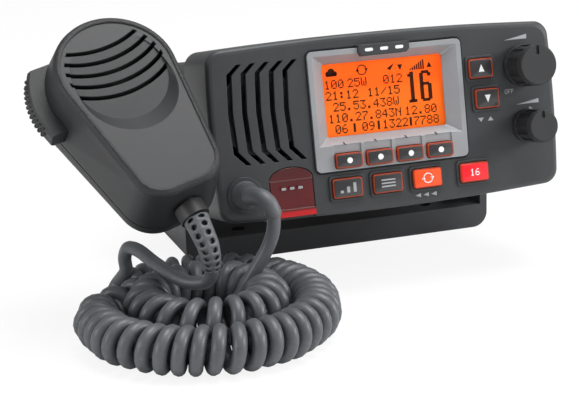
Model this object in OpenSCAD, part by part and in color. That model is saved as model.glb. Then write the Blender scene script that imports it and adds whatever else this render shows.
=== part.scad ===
// Fixed-mount marine radio in its gimbal bracket, with a hand microphone on a curly cord.
// Millimetres, +Z up. The origin is on the mounting surface, in the middle of the bracket's
// four screw holes; the front panel looks towards -Y.

/* [Front panel] */
// Width of the front panel
face_w = 172; // [164:1:184]
// Height of the front panel
face_h = 82.4; // [78:0.2:88]
// Bow of the upper and lower edges
face_bow = 2.7; // [1:0.1:3.4]
// Bow of the two sides
side_bow = 1.6; // [0.6:0.1:2.4]
// Radius of the outline's corners
face_corner = 7; // [5:0.5:9]
// Rounding of the front edge
face_edge = 2.4; // [1.6:0.2:3]
// Thickness of the front plate
plate_t = 3; // [2.4:0.1:3.4]
// Thickness of the side skirt
skirt_t = 3; // [2:0.2:4]
// Depth of the side skirt
skirt_d = 34; // [28:1:38]
// How far each side spreads towards the back of the skirt
skirt_flare = 1.4; // [0.4:0.2:2]

/* [Display] */
// Width of the silver display frame
lcd_w = 76; // [70:1:80]
// Height of the panel left free above and below the frame, together
lcd_rest = 27.2; // [26.4:0.2:30]
// Height of the frame's centre above the panel's centre
lcd_z = 6.8; // [6:0.2:7.6]
// How far the frame stands out of the panel
lcd_proud = 1.2; // [0.6:0.2:2]
// Width of the window
window_w = 59; // [54:1:62]
// Width of the frame above the window
window_top = 6.5; // [5:0.1:8]
// Width of the frame below the window, where the soft keys are
window_low = 15.5; // [15.2:0.1:18]
// Width of the flat rim around the frame's slopes
frame_rim = 2.4; // [1.6:0.1:3.4]
// Thickness of the window
window_t = 1.6; // [1:0.2:2.2]
// Thickness of the display module
module_t = 3.4; // [2.6:0.2:3.6]

/* [Keys] */
// Width of a soft key
soft_w = 12.8; // [11:0.2:14]
// Height of a soft key
soft_h = 6.6; // [5.6:0.2:7.4]
// Distance between soft keys
soft_pitch = 15.2; // [14.8:0.1:16]
// Height of the soft keys' middle above the frame's lower edge
soft_up = 4.5; // [4.2:0.1:5]
// Width of a key in the lower row
row_w = 14.4; // [12:0.2:16]
// Height of a key in the lower row
row_h = 8.9; // [8:0.1:10]
// Distance between the first three keys of the lower row
row_pitch = 19.9; // [19:0.1:21]
// Distance from the third to the fourth key of the lower row
row_last = 24.1; // [22:0.1:26]
// Height of the lower row's middle above the panel's lower edge
row_up = 12.3; // [11.8:0.1:12.8]
// Width of an arrow key
arrow_w = 12; // [10:0.2:13]
// Height of an arrow key
arrow_h = 9; // [8:0.2:10]
// Distance between the two arrow keys
arrow_pitch = 14.4; // [13:0.2:16]
// How far a key stands out of the panel
key_proud = 1.8; // [1:0.1:2.4]
// Travel of a key
key_travel = 1; // [0.6:0.1:1.2]
// Height of the raised rim around a key
key_rim_h = 0.8; // [0.4:0.1:1.2]
// Width of the raised rim around a key
key_rim_w = 1.1; // [0.6:0.1:1.4]

/* [Knobs] */
// Radius of the volume knob
volume_r = 10; // [8:0.5:11]
// Length of the volume knob
volume_l = 17; // [12:0.5:20]
// Radius of the squelch knob
squelch_r = 8; // [6:0.5:9]
// Length of the squelch knob
squelch_l = 17; // [12:0.5:20]
// Radius of the knobs' shafts
shaft_r = 3; // [2.5:0.1:3.4]
// Height of the volume knob above the panel's centre
volume_z = 18.7; // [16:0.1:20]
// Height of the squelch knob from the panel's centre
squelch_z = -10; // [-12:0.1:-8]

/* [Distress cover] */
// Width of the flip cover
cover_w = 20.4; // [18:0.2:22]
// Height of the flip cover below its shoulders
cover_h = 17; // [15:0.2:17.4]
// Rise of the arched top
cover_arch = 5.3; // [4:0.1:6]
// Thickness of the flip cover
cover_t = 1.6; // [1.2:0.1:2]
// Depth of the recess behind the cover
pocket_d = 7.2; // [7:0.1:7.6]
// Height of the button under the cover
distress_h = 7.6; // [6:0.2:8]
// Radius of the cover's hinge pin
pin_r = 0.6; // [0.5:0.05:0.7]

/* [Speaker] */
// Number of slots in the speaker grille
slot_count = 5; // [4:1:6]
// Distance between slots
slot_pitch = 6.6; // [6:0.1:7]
// Width of a slot
slot_w = 2.4; // [1.6:0.1:3]
// Height of the panel left free above and below the slots' straight part
slot_rest = 46.4; // [46.4:0.4:54]
// Radius of the speaker
speaker_r = 19.5; // [17:0.5:20]
// Depth of the speaker basket
speaker_d = 11; // [9:0.5:14]

/* [Rear housing] */
// How far the housing's sides lie inside the panel's
housing_side = 10; // [9:0.5:12]
// How far the housing's top lies below the panel's
housing_top = 7.2; // [6.6:0.2:10]
// Depth of the whole radio without its fins
radio_d = 148; // [140:1:156]
// Thickness of the housing's walls
housing_t = 3.4; // [2.4:0.2:4]
// Depth of the housing's front flange
flange_d = 5; // [4:0.5:7]
// Thickness of the gasket behind the front panel
gasket_t = 0.8; // [0.5:0.1:1.2]
// Number of cooling fins on the back
fin_count = 17; // [11:2:21]
// Height of a cooling fin
fin_h = 6; // [4:0.5:9]
// Thickness of a cooling fin
fin_t = 2.2; // [1.6:0.2:3]
// Height of the boss on each side, where the radio tilts
pivot_boss_h = 2.6; // [1.4:0.2:4]
// Radius of the antenna socket's thread
antenna_r = 7.94; // [7:0.01:9]
// Length of the antenna socket's thread
antenna_l = 14; // [11:0.5:18]
// Radius of the power lead's gland
power_r = 6.5; // [5:0.5:8]
// Radius of the accessory lead's gland
accessory_r = 4.5; // [3.5:0.5:6]

/* [Bracket] */
// Depth of the bracket
bracket_d = 60; // [56:1:72]
// Height of the bracket's base
base_h = 12.4; // [10:0.2:14]
// Thickness of the bracket's arms
arm_t = 4; // [3:0.2:5]
// Thickness of the base plate
base_t = 4; // [3:0.2:5]
// Thickness of the base's turned-down lip
lip_t = 3; // [2:0.2:4]
// Radius of the lower corners
bracket_corner = 8; // [6:0.5:10]
// Radius of the rounded top of an arm
arm_r = 18; // [14:1:20]
// Radius of the mounting holes
hole_r = 3.5; // [2.5:0.1:4]
// Distance between mounting holes across the bracket
hole_x = 104; // [90:1:116]
// Distance between mounting holes along the bracket
hole_y = 35.2; // [30:0.2:38]
// Height of the tilt pivot above the mounting surface
pivot_h = 63; // [61:1:68]
// Distance from the front of the panel to the tilt pivot
pivot_d = 100; // [96:1:104]
// How far the radio leans back, in degrees
lean = 10; // [4:1:14]
// Radius of a clamping knob
clamp_r = 17; // [13:1:20]
// Length of a clamping knob
clamp_l = 14; // [10:1:18]
// Radius of a clamping knob's stud
stud_r = 3; // [2.5:0.1:4]

/* [Microphone] */
// Length of the microphone
mic_l = 98; // [90:1:104]
// Radius of the microphone's head
head_r = 31.5; // [28:0.5:34]
// Half width of the microphone at its lower end
tail_w = 22.5; // [20:0.5:25]
// Radius of the lower corners
tail_r = 15.5; // [12:0.5:18]
// Depth of the front shell
mic_front_d = 15; // [13:0.5:18]
// Depth of the rear shell
mic_rear_d = 20.5; // [19:0.5:24]
// Thickness of both shells
mic_t = 2.4; // [1.8:0.1:3]
// Thickness of the front shell behind its dished face
mic_face_t = 6; // [5.4:0.2:7]
// Distance from the board to the seam between the shells
seam_back = 13; // [11:0.5:15]
// Draft of the front shell's wall at the head
head_draft = 4; // [2:0.2:4.6]
// Draft of the front shell's wall at the lower end
tail_draft = 1.6; // [0.6:0.2:3]
// Rounding of the edge around the front shell's face
face_round = 2.2; // [1.4:0.2:2.6]
// Inset of the rear shell's back at the head
back_inset = 1.6; // [1:0.2:4]
// Inset of the rear shell's back at the lower end
back_tail_inset = 6.4; // [4:0.2:8]
// Number of louvres over the speaker
louvre_count = 5; // [3:1:6]
// Distance between louvres
louvre_pitch = 5.8; // [5:0.1:6.4]
// Width of a louvre's slot
louvre_w = 1.9; // [1:0.1:2.4]
// Depth of the face's recess at its lower end
dish_depth = 3.4; // [2.4:0.1:3.6]
// How far the talk key stands out of the side
ptt_proud = 6; // [3:0.5:7]
// Travel of the talk key
ptt_travel = 1.6; // [1:0.1:2]
// Width of the talk key, through the microphone's depth
ptt_w = 8; // [7:0.5:11]
// Length of the talk key
ptt_l = 34; // [30:1:36]
// Radius of the collar that the cord leaves through
collar_r = 6.6; // [6.2:0.1:7.4]
// Length of the collar
collar_l = 6.5; // [5:0.5:8]

/* [Cord] */
// Diameter of the cord
cord_d = 6.2; // [5:0.1:6.6]
// Outer diameter of the curls
curl_d = 21.5; // [18:0.5:22]
// Radius of the outer ring of curls, at its middle
ring_r = 48; // [48:0.5:52]
// Radius of the inner ring of curls, at its middle
inner_r = 26; // [25:0.5:26]
// Height of the inner ring above the outer ring
inner_lift = 4; // [3:0.5:6]

/* [Clearances] */
// Gap around a key or button
key_gap = 0.35; // [0.25:0.05:0.5]
// Gap between pieces that move past each other
run_gap = 0.4; // [0.3:0.05:0.6]
// Radial clearance of a shaft in its bore
fit_gap = 0.06; // [0.02:0.01:0.1]
// Gap between a seated piece and its seat
seat_gap = 0.2; // [0.1:0.05:0.3]

/* [Hidden] */

$fn = 64;
body_grey = [0.27, 0.27, 0.28];
dark_grey = [0.16, 0.16, 0.17];
cord_grey = [0.36, 0.37, 0.39];
board_green = [0.10, 0.32, 0.18];
metal = [0.70, 0.71, 0.73];
orange = [0.90, 0.36, 0.12];
red = [0.80, 0.06, 0.10];
eps = 0.01;

// Depths behind the face of the panel, front to back.
key_flange_y = plate_t + 0.3;
key_flange_t = 1.5;
board_y = plate_t + 7;
board_t = 1.6;
sheet_t = 1.2;
sheet_edge = 3.4;
board_left = -62;
board_right = 77;
board_half = face_h / 2 - 8.7;
board_clear = 2;
key_end_y = board_y - sheet_t - 0.3 - key_travel;
key_flange = 1;
lcd_h = face_h - lcd_rest;
lcd_low = lcd_z - lcd_h / 2;
lcd_side_r = 190;
lcd_side_z = 6;
window_h = lcd_h - window_top - window_low;
window_z = lcd_low + window_low + window_h / 2;
tab_at = [-0.8, lcd_z + lcd_h / 2 - 1.4];
tab_size = [25, 4.9];
tab_slant = 1.6;
lcd_tab_proud = 1.4;
lcd_corner = 2.4;
frame_sill = 3.8;
dimple_h = 3.6;
dimple_d = 0.6;
groove_w = 0.9;
groove_d = 0.8;
soft_z = lcd_low + soft_up;
row_z = row_up - face_h / 2;
soft_x0 = 0.4 - 1.5 * soft_pitch;
row_x0 = -23.9;
arrow_up_x = 47.4;
arrow_dx = 2.2;
arrow_up_z = 19.4;
volume_x = 69.5;
squelch_x = 70;
control_w = 13;
knob_foot = 2.6;
knob_cap = 2.2;
knob_flute = 1.1;
flute_w = 0.34;
gland_x = -72.8;
gland_z = 14.5 - face_h / 2;
gland_r = 6.6;
boot_r = 4.3;
gland_l = 8;
gland_rib = 0.9;
gland_rib_pitch = 1.8;
boss_r = 3.2;
boss_x = face_w / 2 - 5.8;
boss_z = face_h / 2 - 9;
screw_r = 1.5;
screw_head_r = 2.8;

// Speaker grille.
slot_x0 = -76.2;
slot_z0 = 10;
slot_l = face_h - slot_rest;
slot_tip = 5.5;
slot_bow = 0.9;
speaker_x = -61.2;
speaker_z = 9.5;
speaker_well = speaker_r * 0.82;
speaker_bore = speaker_well - 1.4;
cone_r = speaker_bore - fit_gap;
cone_in = speaker_r * 0.22;
cone_d = speaker_d - 2.6;
cone_t = 3;
magnet_l = 7;

// Flip cover: its arch springs from the shoulders, where its hinge is.
cover_x = -50.4;
cover_z = 19.2 - face_h / 2;
cover_axis_y = 1.2;
tab_h = 3.5;
tab_proud = 1.8;
distress_z = cover_z - cover_arch - 1.4 - distress_h / 2;
distress_w = 13;

// Rear housing.
housing_w = face_w - 2 * housing_side;
housing_h = face_h - 2 * housing_top;
flange_y = skirt_d + gasket_t;
housing_y = flange_y + flange_d;
housing_corner = 7;
pivot_boss_r = 12;
arm_x = housing_w / 2 + pivot_boss_h + run_gap;
arm_out = arm_x + arm_t;
main_z = -housing_h / 2 + housing_t + 8;
main_w = housing_w - 2 * housing_t - 8;
main_y0 = housing_y + 6;
main_y1 = radio_d - housing_t - 6;
antenna_x = 42;
power_x = -44;
accessory_x = -14;
socket_z = 2;
power_l = 9;
accessory_l = 8;

// Parts on the main board: width, depth and height of each kind.
capacitor_r = 5;
capacitor_h = 14;
capacitor_pitch = 13;
chip = [9, 9, 3];
chip_pitch = 16;
chip_y = main_y0 + 32;
amplifier = [26, 16, 7];
crystal = [14, 12, 11];
parts_x = -60;
shield = [56, 66, 14];
shield_x = 8;
shield_t = 0.8;
ribbon_x = -20;
ribbon_w = 26;
ribbon_t = 0.8;
ribbon_lift = 4;

// Hand microphone: where its lower end stands, and how it is turned.
mic_board_y = -1.2;
mic_at = [-107, -133, 61];
mic_turn = [-45.4, -12.1, 12.2];
head_z = mic_l - head_r;
mic_seal_t = 0.8;
seam_y = mic_board_y + seam_back;
front_end = seam_y - mic_seal_t / 2;
rear_end = seam_y + mic_seal_t / 2;
panel_rim = 0.7;
panel_sink = 0.5;
louvre_z = head_z + 11.1;
louvre_r = 44;
louvre_edge = 22.4;
recess_r = 22;
recess_z = head_z - 11.9;
recess_low = recess_z - recess_r;
dish_r = 21.4;
dish_z = head_z - 3;
dish_tilt = asin(dish_depth / (2 * dish_r));
mic_board_w = 30;
mic_board_z = 11;
mic_board_l = 75;
mic_boss_r = 3.4;
talk_key_x = -20;
switch_x = talk_key_x + ptt_travel + 0.4;
stud_neck_r = 3;
stud_cap_r = 8;
stud_neck_l = 5;
mic_screw_at = [[-12, head_z + 14], [12, head_z + 14], [-10, tail_r - 1], [10, tail_r - 1]];
ptt_z = head_z + 5;
ptt_y = ptt_w / 2 + 0.5;
ptt_edge = 1.2;
mic_edge_d = 3.4;
seal_sink = 0.5;
ptt_taper = 5;

// Cord.
cord_sides = 10;
ring_at = [-99, -127];
ring_z = curl_d / 2 + 0.05;
gland_mouth = [gland_x, (-gland_l - pivot_d) * cos(lean) + gland_z * sin(lean),
    pivot_h + (gland_l + pivot_d) * sin(lean) + gland_z * cos(lean)];
gland_bend = [[0, -0.4, 0.1], [0.4, -6, 1.5], [2, -11.4, 2.1], [4.4, -14.8, -0.7], [5.6, -15.8, -6.1]];
gland_route = concat([for (p = gland_bend) gland_mouth + p], [[-67.8, -126.6, 42.4], [-70.4, -126, 35.4],
    [-74.4, -125.4, 28.6], [-78.6, -124.4, 21.6], [-82.8, -123.4, 14.8], [-86.4, -122.6, 9]]);
boot_route = [[-105, -137.5, 56.3], [-103.8, -141.4, 51.8], [-102, -143.6, 45.8], [-101, -143.4, 40],
    [-100.6, -142, 35]];
boot_radii = [5.6, 5.2, 4.8, 4.4, 4];
boot_end = boot_route[len(boot_route) - 1];
boot_way = tangent(boot_route, len(boot_route) - 1);
mic_route = concat([for (far = [0.1, 2.4]) boot_end + far * boot_way], [[-101.4, -138.8, 29],
    [-104.4, -135.6, 27], [-109.4, -130, 26.8], [-114, -120.8, 28.6], [-118, -110, 30.6],
    [-122, -99, 33.4], [-125.2, -91.4, 33], [-126.6, -87.4, 27.4], [-126, -86.4, 19.4]]);

// Outline with w across and h high: four bowed edges and rounded corners, one quarter at a time.
function bow_x(w, h, z) = w / 2 - side_bow * pow(2 * z / h, 2);
function bow_z(w, h, x) = h / 2 - face_bow * pow(2 * x / w, 2);
function quarter(w, h) = let (x = w / 2 - side_bow - face_corner, z = h / 2 - face_bow - face_corner,
    cx = bow_x(w, h, z) - face_corner, cz = bow_z(w, h, x) - face_corner)
    concat([for (k = [0.02:0.24:0.98]) [bow_x(w, h, k * cz), k * cz]],
        [for (a = [0:10:90]) [cx + face_corner * cos(a), cz + face_corner * sin(a)]],
        [for (k = [0.9:-0.2:0.1]) [k * cx, bow_z(w, h, k * cx)]]);
function bowed(w, h) = let (q = quarter(w, h), n = len(q) - 1) concat(q,
    [for (i = [n:-1:0]) [-q[i][0], q[i][1]]], [for (p = q) -p], [for (i = [n:-1:0]) [q[i][0], -q[i][1]]]);

// Rings of points along a route, and the faces that join them.
function unit(v) = v / norm(v);
function tangent(p, i) = unit(p[min(i + 1, len(p) - 1)] - p[max(i - 1, 0)]);
function side_of(t) = unit([1, 0, 0] - t[0] * t);
function ring(c, t, r, n) = let (u = side_of(t), v = cross(t, u))
    [for (k = [0:n - 1]) c + r * (cos(360 * k / n) * u + sin(360 * k / n) * v)];

module sweep(route, radii, n) {
    last = len(route) - 1;
    points = [for (i = [0:last]) each ring(route[i], tangent(route, i), radii[min(i, len(radii) - 1)], n)];
    sides = [for (i = [0:last - 1], k = [0:n - 1])
        [i * n + k, (i + 1) * n + k, (i + 1) * n + (k + 1) % n, i * n + (k + 1) % n]];
    ends = [[for (k = [0:n - 1]) k], [for (k = [n - 1:-1:0]) last * n + k]];
    polyhedron(points, concat(sides, ends), convexity = 6);
}

// The radio's own frame: X right, Y back from the face of the panel, Z up.
module in_radio() {
    translate([0, 0, pivot_h]) rotate([-lean, 0, 0]) translate([0, -pivot_d, 0]) children();
}

// The microphone's own frame: Z along it to its head, Y out of its back, seam at Y = 0.
module in_mic() {
    translate(mic_at) rotate(mic_turn) children();
}

// Extrudes an X-Z outline from depth y0 to depth y1.
module slab(y0, y1) {
    translate([0, y1, 0]) rotate([90, 0, 0]) linear_extrude(y1 - y0, convexity = 8) children();
}

module along_y(x, z, y0, y1, r) {
    translate([x, y1, z]) rotate([90, 0, 0]) cylinder(h = y1 - y0, r = r);
}

module along_x(x0, x1, y, z, r) {
    translate([x0, y, z]) rotate([0, 90, 0]) cylinder(h = x1 - x0, r = r);
}

module rounded(w, h, r) {
    square([w - 2 * r, h], center = true);
    square([w, h - 2 * r], center = true);
    for (x = [-1, 1], z = [-1, 1]) translate([x * (w / 2 - r), z * (h / 2 - r)]) circle(r, $fn = 32);
}

module face_outline(inset = 0) {
    polygon(bowed(face_w - 2 * inset, face_h - 2 * inset));
}

// ---------------------------------------------------------------- bracket

module arm_holes(r) {
    along_x(-arm_out - 1, arm_out + 1, 0, pivot_h, r);
}

module at_mount_holes() {
    for (x = [-1, 1], y = [-1, 1]) translate([x * hole_x / 2, y * hole_y / 2, 0]) children();
}

module bracket_section(inset) {
    w = 2 * (arm_out - inset);
    r = bracket_corner - inset;
    translate([0, (base_h + 1) / 2 + inset / 2]) square([w - 2 * r, base_h + 1 - inset], center = true);
    for (x = [-1, 1]) translate([x * (w / 2 - r), r + inset]) circle(r);
    translate([-w / 2, r + inset]) square([w, base_h + 1 - r - inset]);
}

module bracket_arm(side) {
    inner = side > 0 ? arm_x : -arm_out;
    along_x(inner, inner + arm_t, 0, pivot_h, arm_r);
    translate([inner, 0, 0]) rotate([90, 0, 90]) linear_extrude(arm_t)
        polygon([[-bracket_d / 2, base_h - 1], [bracket_d / 2, base_h - 1], [bracket_d / 2, base_h + 8],
            [arm_r, pivot_h], [-arm_r, pivot_h], [-bracket_d / 2, base_h + 8]]);
}

module bracket() color(dark_grey) difference() {
    union() {
        difference() {
            intersection() {
                slab(-bracket_d / 2, bracket_d / 2) bracket_section(0);
                translate([-arm_out, -bracket_d / 2, 0]) cube([2 * arm_out, bracket_d, base_h]);
            }
            translate([-arm_out + bracket_corner, -bracket_d / 2 + lip_t, -1])
                cube([2 * (arm_out - bracket_corner), bracket_d - 2 * lip_t, base_h - base_t + 1]);
        }
        for (side = [-1, 1]) bracket_arm(side);
        at_mount_holes() cylinder(h = base_h - eps, r = hole_r + 3);
    }
    at_mount_holes() translate([0, 0, -1]) cylinder(h = base_h + 2, r = hole_r);
    arm_holes(stud_r + 0.3);
}

// Fluted clamping knob on a threaded stud, drawn on the +X side.
module clamp_knob() {
    start = arm_out + run_gap;
    flute_count = 10;
    difference() {
        union() {
            along_x(start, start + clamp_l, 0, pivot_h, clamp_r);
            along_x(start + clamp_l - eps, start + clamp_l + 1.4, 0, pivot_h, clamp_r * 0.62);
        }
        for (a = [0:flute_count - 1]) translate([0, 0, pivot_h]) rotate([a * 360 / flute_count, 0, 0])
            along_x(start + 3, start + clamp_l + 2, 0, clamp_r + 1.6, 3.4);
    }
    along_x(housing_w / 2 - 8, start + eps, 0, pivot_h, stud_r);
}

module clamp_knob_right() color(dark_grey) clamp_knob();
module clamp_knob_left() color(dark_grey) mirror([1, 0, 0]) clamp_knob();

// ------------------------------------------------------------ front panel

module display_outline(grow) {
    intersection() {
        translate([0, lcd_z]) rounded(lcd_w + 2 * grow, lcd_h + 2 * grow, max(lcd_corner + grow, 0.4));
        for (side = [-1, 1]) translate([side * (lcd_w / 2 - lcd_side_r), lcd_z - lcd_side_z])
            circle(lcd_side_r + grow, $fn = 180);
    }
}

// Tab of the panel that overlaps the frame's upper edge.
module frame_tab(grow) {
    w = tab_size[0] / 2 + grow;
    h = tab_size[1] / 2 + grow;
    translate(tab_at) polygon([[-w, h], [-w, -h + tab_slant], [-w + tab_slant, -h], [w - tab_slant, -h],
        [w, -h + tab_slant], [w, h]]);
}

module grille_slot(x) {
    h = slot_l / 2;
    translate([x, slot_z0]) polygon([[0, -h], [slot_tip, -h - slot_tip], [slot_tip + slot_w, -h - slot_tip],
        [slot_w, -h + 0.8], [slot_w - slot_bow, 0], [slot_w, h - 0.8],
        [slot_tip + slot_w - 0.6, h + slot_tip - 1.6],
        [slot_tip - 0.6, h + slot_tip - 1.6], [0, h - 0.4], [-slot_bow, 0]]);
}

module cover_outline(grow) {
    translate([-cover_w / 2 - grow, cover_z - cover_h - grow]) square([cover_w + 2 * grow, cover_h + grow]);
    translate([0, cover_z]) intersection() {
        scale([(cover_w / 2 + grow) / (cover_arch + grow), 1]) circle(cover_arch + grow);
        translate([-cover_w, -eps]) square([2 * cover_w, 2 * cover_arch]);
    }
}

module key_rim(x, z, w, h) {
    translate([x, 0, z]) slab(-key_rim_h, plate_t)
        rounded(w + 2 * (key_gap + key_rim_w), h + 2 * (key_gap + key_rim_w), 1.8);
}

module key_hole(x, z, w, h) {
    translate([x, 0, z]) slab(-key_rim_h - 1, plate_t + 1)
        rounded(w + 2 * key_gap, h + 2 * key_gap, 1.2 + key_gap);
}

row_x = [row_x0, row_x0 + row_pitch, row_x0 + 2 * row_pitch, row_x0 + 2 * row_pitch + row_last];
arrow_at = [[arrow_up_x, arrow_up_z], [arrow_up_x + arrow_dx, arrow_up_z - arrow_pitch]];

module front_panel() color(body_grey) in_radio() {
    slab(-lcd_proud - lcd_tab_proud, plate_t) frame_tab(0);
    panel_moulding();
}

module panel_moulding() difference() {
    union() {
        difference() {
            hull() {
                for (a = [0:30:90]) slab(face_edge * (1 - sin(a)), skirt_d / 2)
                    face_outline(face_edge * (1 - cos(a)));
                slab(skirt_d - eps, skirt_d) scale([1 + 2 * skirt_flare / face_w, 1]) face_outline();
            }
            slab(plate_t, skirt_d + 1) face_outline(skirt_t);
        }
        for (x = [-1, 1], z = [-1, 1]) along_y(x * boss_x, z * boss_z, plate_t - eps, skirt_d, boss_r);
        for (x = row_x) key_rim(x, row_z, row_w, row_h);
        for (at = arrow_at) key_rim(at[0], at[1], arrow_w, arrow_h);
        translate([cover_x, 0, 0]) intersection() {
            slab(plate_t - eps, board_y - 0.4) cover_outline(2);
            translate([-cover_w, 0, -face_h / 2 + 0.6]) cube([2 * cover_w, 20, face_h]);
        }
        along_y(gland_x, gland_z, -0.8, plate_t, gland_r + 1.6);
    }
    slab(-2, plate_t + 1) display_outline(seat_gap);
    slab(-2, groove_d) display_outline(groove_w);
    for (i = [0:slot_count - 1]) slab(-1, plate_t + 1) grille_slot(slot_x0 + i * slot_pitch);
    for (x = row_x) key_hole(x, row_z, row_w, row_h);
    for (at = arrow_at) key_hole(at[0], at[1], arrow_w, arrow_h);
    translate([cover_x, 0, 0]) slab(-1, pocket_d) cover_outline(run_gap);
    translate([cover_x - cover_w / 2 - run_gap, -5, -face_h / 2 - 5])
        cube([cover_w + 2 * run_gap, 5 + cover_t + run_gap, 12]);
    translate([cover_x, 0, distress_z]) slab(pocket_d - 1, board_y)
        rounded(distress_w + 2 * key_gap, distress_h + 2 * key_gap, 2);
    along_x(cover_x - cover_w / 2 - 2.5, cover_x + cover_w / 2 + 2.5, cover_axis_y, cover_z, pin_r + fit_gap);
    along_y(volume_x, volume_z, -1, plate_t + 1, shaft_r + run_gap);
    along_y(squelch_x, squelch_z, -1, plate_t + 1, shaft_r + run_gap);
    along_y(gland_x, gland_z, -2, plate_t + 1, boot_r + 1.2 + fit_gap);
    for (x = [-1, 1], z = [-1, 1])
        along_y(x * boss_x, z * boss_z, skirt_d - 12, skirt_d + 1, screw_r + fit_gap);
}

module panel_gasket() color(dark_grey) in_radio() difference() {
    slab(skirt_d, flange_y) face_outline(0.6);
    slab(skirt_d - 1, flange_y + 1) polygon(bowed(housing_w - 2 * housing_t, housing_h - 2 * housing_t));
    for (x = [-1, 1], z = [-1, 1]) along_y(x * boss_x, z * boss_z, skirt_d - 1, flange_y + 1, screw_r + 0.3);
}

module display_frame() color([0.66, 0.67, 0.68]) in_radio() difference() {
    union() {
        slab(-lcd_proud, plate_t) display_outline(0);
        slab(plate_t - eps, plate_t + 0.8) intersection() {
            display_outline(2);
            translate([0, window_z]) square([window_w + 8, window_h + 8], center = true);
        }
    }
    hull() {
        slab(-lcd_proud - eps, -lcd_proud) intersection() {
            display_outline(-frame_rim);
            translate([-lcd_w / 2, window_z - window_h / 2 - frame_sill]) square([lcd_w, lcd_h]);
        }
        translate([0, 0, window_z]) slab(plate_t + 0.8, plate_t + 1) rounded(window_w, window_h, 1);
    }
    for (i = [0:3]) {
        key_hole(soft_x0 + i * soft_pitch, soft_z, soft_w, soft_h);
        translate([soft_x0 + i * soft_pitch, -lcd_proud, soft_z + (soft_h + dimple_h) / 2])
            cube([soft_w + 2 * key_gap, 2 * dimple_d, dimple_h + 1], center = true);
    }
    slab(-lcd_proud - 1, plate_t + 1) frame_tab(seat_gap);
}

module display_window() color([0.85, 0.85, 0.82, 0.4]) in_radio()
    translate([0, 0, window_z]) slab(plate_t + 0.8, plate_t + 0.8 + window_t)
        rounded(window_w + 4, window_h + 3, 1);

module display_module() color(orange) in_radio()
    translate([0, 0, window_z]) slab(plate_t + 0.8 + window_t, plate_t + 0.8 + window_t + module_t)
        rounded(window_w + 6, window_h + 4, 1);

module speaker_basket() color(dark_grey) in_radio() difference() {
    union() {
        along_y(speaker_x, speaker_z, plate_t, plate_t + 2, speaker_r);
        along_y(speaker_x, speaker_z, plate_t, plate_t + speaker_d, speaker_well);
    }
    along_y(speaker_x, speaker_z, plate_t - 1, plate_t + 1, speaker_r - 1.5);
    along_y(speaker_x, speaker_z, plate_t - 1, plate_t + 1 + cone_d, speaker_bore);
}

module speaker_cone() color([0.1, 0.1, 0.1]) in_radio()
    translate([speaker_x, plate_t + 1, speaker_z]) rotate([-90, 0, 0]) rotate_extrude()
        polygon([[0, cone_d - cone_t], [cone_in, cone_d - cone_t], [cone_r - 1, 0], [cone_r, 0],
            [cone_r, 0.8], [cone_r - 1, 1.6], [cone_in, cone_d], [0, cone_d]]);

module speaker_magnet() color(metal) in_radio()
    along_y(speaker_x, speaker_z, plate_t + speaker_d, plate_t + speaker_d + magnet_l, speaker_r * 0.62);

// The board leaves room for the speaker and for the bosses of the corner screws.
module front_board() color(board_green) in_radio() slab(board_y, board_y + board_t) difference() {
    translate([board_left, -board_half]) square([board_right - board_left, 2 * board_half]);
    translate([board_left - 1, speaker_z - speaker_r - board_clear])
        square([speaker_x + speaker_r + board_clear - board_left + 1, face_h]);
    for (z = [-1, 1]) translate([boss_x, z * boss_z]) square(2 * (boss_r + board_clear), center = true);
}

// Rubber sheet behind the soft keys and the lower row, and behind the arrow keys.
module keypad_sheet() color([0.22, 0.22, 0.22]) in_radio() slab(board_y - sheet_t, board_y) {
    left = row_x[0] - row_w / 2 - sheet_edge;
    right = arrow_at[1][0] + arrow_w / 2 + sheet_edge;
    low = row_z - row_h / 2 + 1;
    arrow_left = arrow_at[0][0] - arrow_w / 2 - sheet_edge;
    translate([left, low]) square([right - left, soft_z + soft_h / 2 + sheet_edge - low]);
    translate([arrow_left, low]) square([right - arrow_left, arrow_at[0][1] + arrow_h / 2 + sheet_edge - low]);
}

module control(x, z) {
    difference() {
        translate([x, 0, z]) slab(plate_t + 0.2, board_y) rounded(control_w, control_w, 1);
        along_y(x, z, plate_t - 1, board_y - 1, shaft_r + fit_gap);
    }
}

module volume_control() color(metal) in_radio() control(volume_x, volume_z);
module squelch_control() color(metal) in_radio() control(squelch_x, squelch_z);

module control_shaft(x, z, length) {
    along_y(x, z, -run_gap - length + 4, board_y - 1 - 0.3, shaft_r);
}

module volume_shaft() color(metal) in_radio() control_shaft(volume_x, volume_z, volume_l);
module squelch_shaft() color(metal) in_radio() control_shaft(squelch_x, squelch_z, squelch_l);

module fluted_knob(x, z, r, length) {
    flute_count = 12;
    front = -run_gap - length;
    difference() {
        union() {
            along_y(x, z, -run_gap - knob_foot, -run_gap, r);
            along_y(x, z, front + knob_cap, -run_gap - knob_foot + eps, r - 0.3);
            along_y(x, z, front + 0.5, front + knob_cap + eps, r - 0.6);
            along_y(x, z, front, front + 0.5 + eps, r - 1.1);
        }
        for (i = [0:flute_count - 1]) translate([x, 0, z]) rotate([0, (i + 0.5) * 360 / flute_count, 0])
            translate([r - knob_flute, front + knob_cap + 0.6, -flute_w * r / 2])
                cube([knob_flute + 1, length - knob_cap - knob_foot - 1.2, flute_w * r]);
        translate([x - 0.8, front - 1, z + r * 0.5]) cube([1.6, 2, r]);
        along_y(x, z, front + 4, 1, shaft_r + fit_gap);
    }
}

module volume_knob() color(dark_grey) in_radio() fluted_knob(volume_x, volume_z, volume_r, volume_l);
module squelch_knob() color(dark_grey) in_radio() fluted_knob(squelch_x, squelch_z, squelch_r, squelch_l);

// -------------------------------------------------------------------- keys

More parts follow.
